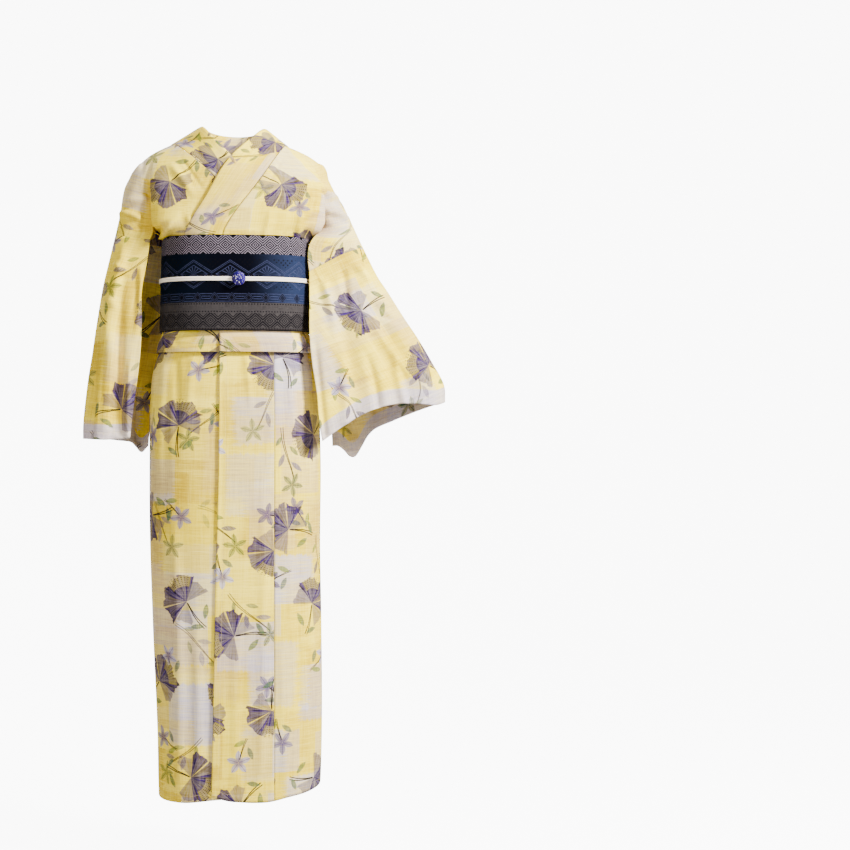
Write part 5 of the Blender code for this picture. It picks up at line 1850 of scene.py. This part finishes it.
@dataclass(frozen=True)
class CordFinish(Finish):
    """Ivory braid: fine slanting strands and a shaded groove."""

    name: str = "ivory_braid"
    ivory: Triple = (0.93, 0.83, 0.66)
    shade: Triple = (0.52, 0.41, 0.3)
    strand: float = 0.0011

    def look(self, w: Wiring) -> dict[str, object]:
        """The shader's inputs, by name."""
        cloth = w.node("UVMap", uv_map="cloth").outputs[0]
        x, y, _ = w.split(cloth)
        away = w.maths("ABSOLUTE", y)
        turns = w.times(w.add(x, w.times(away, 0.9)), 1 / self.strand)
        ply = w.maths("SINE", w.times(w.part(turns), math.pi))
        fleck = w.noise(cloth, (900, 900, 0))
        groove = w.step(away, 0.001, 0.0002)
        colour = w.blend(w.ramp(ply, 0.0, 0.8, 0.45, 0.0), self.ivory, self.shade)
        colour = w.blend(w.times(groove, 0.55), colour, self.shade)
        return {
            "Base Color": w.blend(w.ramp(fleck, 0.45, 0.7, 0.0, 0.18), colour, self.shade),
            "Roughness": w.ramp(fleck, 0.3, 0.7, 0.7, 0.55), "Sheen Weight": 0.1,
            "Normal": w.bump(w.less(ply, w.times(groove, 1.5)), 0.7, 0.0003),
        }


@dataclass(frozen=True)
class BeadFinish(Finish):
    """Violet glass studs, speckled with painted glints: white spots in the base colour that stand in for
    highlights.
    """

    name: str = "violet_glass"
    deep: Triple = (0.004, 0.0004, 0.06)
    bright: Triple = (0.022, 0.001, 0.19)
    # White of the painted glints, which stand in for highlights on the studs.
    painted_glint: Triple = (0.92, 0.88, 1.0)

    def look(self, w: Wiring) -> dict[str, object]:
        """The shader's inputs, by name."""
        place = w.node("TexCoord").outputs["Object"]
        tone_and_glint_cells = w.node("TexVoronoi", {"Vector": place, "Scale": 430.0}, feature="F1")
        pick, other, _ = w.split(tone_and_glint_cells.outputs["Color"])
        # Painted glints: a share of the cells is painted near white and made partly metallic, as highlights.
        painted_glint_spots = w.times(w.step(other, 0.81, 0.84), w.step(tone_and_glint_cells.outputs["Distance"], 0.44, 0.34))
        glass = w.blend(w.step(pick, 0.45, 0.95), self.deep, self.bright)
        return {
            "Base Color": w.blend(painted_glint_spots, glass, self.painted_glint),
            "Metallic": w.times(painted_glint_spots, 0.6), "Roughness": w.ramp(pick, 0.0, 1.0, 0.06, 0.14),
            "Specular IOR Level": 0.35, "Normal": w.bump(pick, 0.2, 0.0003),
        }


@dataclass(frozen=True)
class PaperFinish(Finish):
    """Seamless white studio paper, which reads as white without lighting the garment."""

    name: str = "studio_paper"
    dark: Triple = (0.36, 0.36, 0.36)
    light: Triple = (0.4, 0.4, 0.4)
    glow: float = 9.0

    def look(self, w: Wiring) -> dict[str, object]:
        """The shader's inputs, by name."""
        grain = w.noise(w.node("TexCoord").outputs["Object"], (40, 40, 1))
        seen = w.node("LightPath").outputs["Is Camera Ray"]
        return {
            "Base Color": w.blend(grain, self.dark, self.light), "Roughness": 0.9,
            "Emission Color": (1.0, 1.0, 1.0), "Emission Strength": w.times(seen, self.glow),
        }


# ==== Folds, listed one by one ====

# On the chest and back: distance out and level
RIGHT_CHEST = folds(
    (138.8, -180, 90.7, -139.2, 7.5, 8, -3, 0.2, 0.5),
    (162.9, -192.9, 109.2, -148.5, 15, 10.5, 4, 0.15, 0.55),
    (146.2, -204, 94.4, -167, -7.5, 8, 2, 0.2, 0.5),
    (157.4, -161.5, 83.3, -124.4, 8, 12, 3, 0.2, 0.6),
    (127.7, -39.3, 70.3, -118.9, 6.5, 12, -4, 0.3, 0.5),
    (105.5, -28.2, 51.8, -107.8, -2.2, 6.5, 0, 0.25, 0.4),
    (155.5, -94.8, 124, -68.9, 5.5, 11, 2, 0.1, 0.6),
    (90.7, -135.5, 64.8, -187.4, 5.5, 10, 2, 0.3, 0.3),
    (130, -358, 112, -392, 4, 10, 1, 0.2, 0.3),
    (20, -372, 128, -376, 2, 9, 2, 0.3, 0.3),
)
LEFT_CHEST = folds(
    (166.6, -161.5, 116.6, -196.6, 15.5, 10, -4, 0.15, 0.5),
    (150, -187.4, 105.5, -205.9, -7.5, 7.5, 0, 0.2, 0.5),
    (162.9, -124.4, 90.7, -163.3, 8.5, 12.5, -4, 0.2, 0.6),
    (118.5, -128.1, 109.2, -192.9, 7.5, 9, 3, 0.35, 0.2),
    (142.5, -50.4, 105.5, -139.2, 6, 14, 3, 0.3, 0.5),
    (90.7, -26.3, 50, -98.5, -2.2, 6.5, 0, 0.25, 0.4),
    (64.8, -122.6, 50, -191.1, 5, 10, 2, 0.4, 0.2),
    (137, -87.4, 164.8, -76.3, 6, 10, 0, 0.4, 0.15),
    (122, -358, 130, -392, 3, 10, 1, 0.2, 0.3),
    (-20, -377, 120, -371, 2, 9, -2, 0.3, 0.3),
)
RIGHT_BACK = folds(
    (156, -125, 85, -156, 10.5, 14, 5, 0.15, 0.6),
    (148, -156, 102, -172, 12, 11, 3, 0.15, 0.5),
    (50, -45, 62, -150, 5, 16, 4, 0.35, 0.4),
    (125, -50, 138, -115, 6.5, 15, -4, 0.3, 0.4),
    (85, -360, 95, -390, 4.5, 10, 1, 0.2, 0.2),
    (20, -374, 120, -378, 3, 8, 2, 0.3, 0.3),
)
LEFT_BACK = folds(
    (162, -118, 92, -162, 11, 14, -5, 0.15, 0.6),
    (152, -162, 108, -174, 11.5, 10, 2, 0.15, 0.5),
    (42, -60, 50, -165, 5.5, 15, -4, 0.35, 0.4),
    (115, -40, 132, -108, 6, 16, 5, 0.3, 0.4),
    (60, -359, 54, -390, 4.2, 10, 1, 0.2, 0.2),
    (30, -378, 122, -373, 3, 8, -2, 0.3, 0.3),
)
# Round the arms: cloth across from the front border, cloth down from the shoulder
RIGHT_ARM = folds(
    (10, 120, 75, 150, 10.5, 11, 4, 0.1, 0.55),
    (18, 165, 90, 172, 11.5, 10, -4, 0.15, 0.5),
    (20, 60, 60, 100, 7.5, 12, 4, 0.2, 0.6),
    (130, 90, 100, 160, 7.5, 14, 5, 0.3, 0.5),
    (200, 130, 150, 165, 9, 12, 4, 0.15, 0.55),
)
LEFT_ARM = folds(
    (12, 110, 85, 150, 11, 12, 5, 0.1, 0.55),
    (15, 160, 80, 200, 11.5, 11, -4, 0.15, 0.5),
    (20, 70, 70, 95, 7, 12, 3, 0.2, 0.6),
    (125, 110, 90, 185, 8, 15, 6, 0.3, 0.5),
    (205, 120, 150, 180, 9.5, 13, -5, 0.15, 0.55),
)
RIGHT_SLEEVE_FRONT = folds(
    (202.3, -183.5, 232.2, -352, 8.5, 13, 4, 0.2, 0.5),
    (230.4, -329.6, 243.5, -558.1, 11.5, 12.5, -3, 0.35, 0.1),
    (209.8, -277.1, 215.4, -558.1, -5.5, 11, 4, 0.4, 0.05),
    (176.1, -224.7, 189.2, -389.5, 9, 10, -4, 0.2, 0.45),
    (192.9, -389.5, 200.4, -558.1, 8.5, 8, 2, 0.4, 0.05),
    (260.3, -380.1, 267.8, -554.3, -7.5, 9, 0, 0.4, 0.05),
    (219.1, -189.1, 161.1, -179.7, -2, 4.5, 2, 0.1, 0.1),
    (228.5, -224.7, 191, -250.9, 7, 10, 3, 0.2, 0.6),
    (241.6, -295.8, 213.5, -318.3, 6, 10, -2, 0.15, 0.6),
)
LEFT_SLEEVE_FRONT = folds(
    (140.5, -241.5, 224.8, -202.2, -4, 4.5, -2, 0.1, 0.1),
    (159.2, -250.9, 185.4, -389.5, 11, 14, 6, 0.15, 0.55),
    (196.7, -224.7, 209.8, -352, -8.5, 12, 4, 0.2, 0.6),
    (256.6, -305.2, 305.3, -301.5, 10.5, 8.5, 2, 0.4, 0.1),
    (264.1, -325.8, 312.8, -333.3, -7.5, 8, 0, 0.45, 0.1),
    (230.4, -295.8, 344.6, -455, 10, 17, -8, 0.3, 0.3),
    (189.2, -352, 204.2, -539.3, 9, 16, 4, 0.4, 0.08),
    (237.9, -380.1, 266, -501.9, -10.5, 14, 4, 0.45, 0.05),
    (294.1, -389.5, 316.5, -498.1, 11, 13, -3, 0.45, 0.05),
    (144.2, -352, 164.8, -558.1, -7.5, 10, 0, 0.4, 0.05),
    (219.1, -224.7, 256.6, -265.9, 8, 11, 3, 0.25, 0.5),
    (177.9, -176, 215.4, -191, 7.5, 9, 2, 0.2, 0.5),
)
RIGHT_SLEEVE_BACK = folds(
    (230, -220, 250, -360, 10.5, 15, 6, 0.2, 0.4),
    (190, -230, 200, -420, 9.5, 13, -6, 0.25, 0.4),
    (250, -390, 260, -560, 11, 14, 4, 0.4, 0.05),
    (215, -400, 220, -560, -10, 12, -4, 0.45, 0.05),
    (180, -430, 185, -570, 9, 12, 3, 0.4, 0.05),
    (205, -215, 242, -250, 7.5, 10, 3, 0.2, 0.6),
)
LEFT_SLEEVE_BACK = folds(
    (185, -260, 215, -420, 11.5, 16, 7, 0.15, 0.5),
    (225, -230, 275, -350, -9, 15, -6, 0.2, 0.5),
    (250, -310, 340, -440, 11, 18, 9, 0.3, 0.3),
    (210, -400, 230, -560, 10, 15, -5, 0.4, 0.08),
    (270, -400, 295, -540, -10.5, 15, 5, 0.45, 0.05),
    (280, -270, 245, -290, 9, 9, 2, 0.15, 0.5),
    (320, -330, 290, -345, 8.5, 9, -2, 0.15, 0.5),
)
# On the collar: garment x and level
COLLAR_FOLDS = folds(
    (82, -5, 42, -45, -2.5, 8, 4, 0.3, 0.4),
    (56, 20, 65, -15, 3, 8, 2, 0.3, 0.4),
    (-75, -15, -52, -40, 3, 8, -3, 0.3, 0.4),
    (-20, -100, -60, -145, -2, 7, 2, 0.3, 0.4),
)
# Skirt: garment x and level; long shallow falls of cloth from the hips, and short ones under the tuck
FORE_LEFT = folds(
    (132, -400, 140, -760, 5.7, 14, 5, 0.1, 0.5),
    (118, -620, 126, -1220, -4.9, 15, -6, 0.35, 0.1),
    (148, -720, 150, -1220, 6.1, 12, 4, 0.35, 0.1),
    (95, -398, 99, -560, 4.2, 11, 3, 0.1, 0.6),
    (86, -860, 93, -1220, 4.2, 15, -4, 0.45, 0.1),
    (125, -470, 82, -560, 3, 15, 6, 0.3, 0.5),
)
OVER_FLAP = folds(
    (18, -398, 26, -520, 3.4, 10, 2, 0.1, 0.6),
    (48, -560, 42, -1220, 3.4, 16, 6, 0.4, 0.1),
    (8, -780, 2, -1220, 3, 14, -5, 0.45, 0.1),
    (-30, -420, -34, -900, 1.9, 6, 0, 0.1, 0.3),
)
FORE_RIGHT = folds(
    (-130, -400, -140, -720, 5.7, 12, -5, 0.1, 0.5),
    (-110, -400, -112, -620, -4.2, 11, 3, 0.1, 0.5),
    (-78, -398, -86, -560, 3.8, 11, -3, 0.1, 0.6),
    (-118, -660, -106, -1220, 6.1, 16, 7, 0.3, 0.1),
    (-140, -840, -132, -1220, -5.3, 12, 4, 0.4, 0.1),
    (-76, -820, -70, -1220, 4.2, 14, 4, 0.45, 0.1),
)
REAR_LEFT = folds(
    (130, -400, 135, -740, 6.1, 15, 5, 0.1, 0.5),
    (80, -400, 92, -620, 4.6, 14, 4, 0.1, 0.6),
    (108, -620, 100, -1220, -5.3, 16, 6, 0.35, 0.1),
    (50, -600, 62, -1220, 5.3, 18, -6, 0.35, 0.1),
    (16, -460, 90, -530, 3.4, 18, 10, 0.3, 0.5),
    (145, -800, 142, -1220, 5.7, 12, 3, 0.4, 0.1),
)
REAR_RIGHT = folds(
    (-128, -400, -138, -780, 5.7, 14, -5, 0.1, 0.5),
    (-90, -400, -82, -600, 4.6, 13, 4, 0.1, 0.6),
    (-112, -660, -106, -1220, -5.7, 15, -6, 0.35, 0.1),
    (-58, -640, -46, -1220, 4.9, 18, 6, 0.35, 0.1),
    (-20, -470, -86, -520, 3.4, 16, -9, 0.3, 0.5),
    (-136, -860, -130, -1220, 4.9, 12, 3, 0.4, 0.1),
)


# ==== Studio ====


@dataclass(frozen=True)
class Lamp:
    """One soft area light: where it stands, what it points at, its power and its width."""

    name: str
    place: Triple
    aim: Triple
    power: float
    size: float

    def build(self) -> None:
        """Hangs the light."""
        data = bpy.data.lights.new(self.name, "AREA")
        data.energy, data.size = self.power, self.size
        lamp = place_object(self.name, data)
        lamp.location = self.place
        lamp.rotation_euler = (Vector(self.aim) - Vector(self.place)).to_track_quat("-Z", "Y").to_euler()


@dataclass(frozen=True)
class Studio:
    """A pale floor that sweeps up behind, soft lights, and the camera, turned a little to one side."""

    camera_place: Triple = (0.0, -3.5, -0.5206)
    lens: float = 77.6
    yaw: float = 5.89
    pitch: float = 0.16
    floor_level: float = -1.36
    half_width: float = 7.0
    air: float = 0.42
    warmth: tuple[float, float, float, float] = (1.0, 0.92, 0.8, 1.0)
    lamps: tuple[Lamp, ...] = (
        Lamp("key", (2.3, -1.7, 1.3), (0.0, 0.0, -0.4), 560.0, 0.7),
        Lamp("fill", (-1.6, -3.2, 0.5), (0.0, 0.0, -0.25), 96.0, 1.8),
        Lamp("top", (-0.6, 0.6, 2.0), (0.0, 0.0, -0.5), 30.0, 1.4),
        Lamp("rear", (-1.5, 3.0, 0.9), (0.0, 0.0, -0.5), 150.0, 1.6),
    )

    def build(self) -> None:
        """Sets up everything but the garment."""
        self.sweep()
        self.camera()
        for lamp in self.lamps:
            lamp.build()
        world = bpy.data.worlds.new("studio_air")
        bpy.context.scene.world = world
        world.use_nodes = True
        background = world.node_tree.nodes["Background"]
        background.inputs[0].default_value = self.warmth
        background.inputs[1].default_value = self.air

    def sweep(self) -> None:
        """Floor and backdrop in one: level, then a quarter round, then upright."""
        turn = np.linspace(0, np.pi / 2, 24)
        profile = np.concatenate([
            [[-6.0, 0.0]], stacked(2.5 + 1.5 * np.sin(turn), 1.5 - 1.5 * np.cos(turn)), [[4.0, 6.0]],
        ])
        x = np.array([self.half_width, -self.half_width])
        grid = stacked(x, profile[:, :1], profile[:, 1:] + self.floor_level)
        points, faces, _ = weld([Patch(grid, np.zeros((*grid.shape[:2], 2)))])
        floor = mesh_object("studio_sweep", points, faces)
        floor.data.materials.append(PaperFinish().build())
        floor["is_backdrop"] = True

    def camera(self) -> None:
        """Sets up the camera."""
        data = bpy.data.cameras.new("camera")
        data.lens = self.lens
        camera = place_object("camera", data)
        camera.location = self.camera_place
        camera.rotation_euler = (math.radians(90 - self.pitch), 0.0, math.radians(-self.yaw))
        bpy.context.scene.camera = camera


# ==== The whole garment ====


@dataclass
class Yukata:
    """Every piece of the robe and its belt, with the folds that its wear gives it."""

    groups: Groups

    def cotton(self, name: str, shift: Pair, **edges: float) -> Material:
        """The cotton of one piece."""
        return CottonFinish(f"cotton_of_{name}", self.groups, shift, **edges).build()

    def bodices(self) -> None:
        """The two body panels."""
        cut = Cut((0.36, 0.94), "draped", ("collar_band",), 0.22)
        for word, form, drawn, shift in (
                ("left", LEFT, (LEFT_CHEST, LEFT_BACK, LEFT_ARM), (0.33, 0.12)),
                ("right", RIGHT, (RIGHT_CHEST, RIGHT_BACK, RIGHT_ARM), (1.91, 0.77))):
            panel = Bodice(f"bodice_{word}", f"body_panel_{word}", cut, form, *drawn)
            panel.build(self.cotton(panel.name, shift, hem=SEAM))

    def sleeves(self) -> None:
        """The two sleeves."""
        for word, form, drawn, flat, area, shift in (
                ("left", LEFT, (LEFT_SLEEVE_FRONT, LEFT_SLEEVE_BACK), (0.38, 0.55), 0.145, (3.1, 0.29)),
                ("right", RIGHT, (RIGHT_SLEEVE_FRONT, RIGHT_SLEEVE_BACK), (0.4, 0.28), 0.1, (4.71, 1.52))):
            cut = Cut(flat, "draped", (f"bodice_{word}",), area)
            sleeve = Sleeve(f"hanging_sleeve_{word}", f"sleeve_{word}", cut, form, *drawn)
            sleeve.build(self.cotton(sleeve.name, shift, hem=0.014, band=0.03))

    def collar(self) -> None:
        """The collar band."""
        band = Collar(Cut((0.06, 0.94), "folded", ("bodice_left",)), COLLAR_FOLDS)
        band.build(self.cotton("collar_band", (6.162, 0.549), hem=SEAM))

    def skirt(self) -> None:
        """The skirt's six panels, the under ones first."""
        lift, turned_in = LEVELS.skirt_lift, 0.013
        edge = SkirtEdge
        for name, node, start, end, drawn, off, width, shift, depth in (
                ("skirt_rear_left", "skirt_back_left", edge.SIDE, edge.CENTRE_BACK, REAR_LEFT, 0.0, 0.218,
                 (7.3, 0.2), SEAM),
                ("skirt_rear_right", "skirt_back_right", edge.SIDE, edge.CENTRE_BACK, REAR_RIGHT, 0.0, 0.218,
                 (8.2, 0.9), SEAM),
                ("skirt_fore_left", "skirt_front_left", edge.OVER_SEAM, edge.SIDE, FORE_LEFT, lift, 0.15,
                 (9.15, 0.33), SEAM),
                ("over_flap_left", "overlap_left", edge.OVER_EDGE, edge.OVER_SEAM, OVER_FLAP, lift, 0.115,
                 (10.4, 0.61), turned_in),
                ("skirt_fore_right", "skirt_front_right", edge.UNDER_SEAM, edge.SIDE, FORE_RIGHT, 0.0, 0.21,
                 (11.7, 0.18), SEAM),
                ("under_flap_right", "overlap_right", edge.UNDER_EDGE, edge.UNDER_SEAM, (), 0.0, 0.125,
                 (12.9, 0.72), turned_in)):
            cut = Cut((width, 0.89), "hung", ("belt_round_the_waist",))
            form = LEFT if name.endswith("left") else RIGHT
            panel = SkirtPanel(name, node, cut, form.sign, start, end, drawn, off)
            panel.build(self.cotton(name, shift, side=depth))

    def belt(self) -> None:
        """Belt, knot, cord and bead."""
        round_it = ("belt_round_the_waist",)
        belt = Belt(Cut((0.177, 0.815), "stretched", ("bodice_left",)),
                    Cut((0.146, 0.226), "folded", round_it), Cut((0.072, 0.2), "folded", round_it))
        plain = BeltFinish("plain_belt_weave", 0.0).build()
        belt.build_band(BeltFinish("figured_belt_weave").build())
        belt.build_card(plain)
        belt.build_knot_band(plain)
        cord = BeltCord(belt)
        cord.build(CordFinish().build())
        cord.build_bead(BeadFinish().build())


def main() -> list:
    """Builds every piece in order.

    Returns:
        The box of the solids, as the frame was loaded.
    """
    logging.basicConfig(level=logging.INFO, format="%(name)s: %(message)s")
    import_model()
    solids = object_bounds()
    Studio().build()
    garment = Yukata(Groups())
    for part in (garment.bodices, garment.sleeves, garment.collar, garment.skirt, garment.belt):
        part()
        LOG.info("made the %s", part.__name__)
    return solids


if __name__ == "__main__":
    BOXES = {"solids": np.array(main()).tolist(), "dressed": np.array(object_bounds()).tolist()}
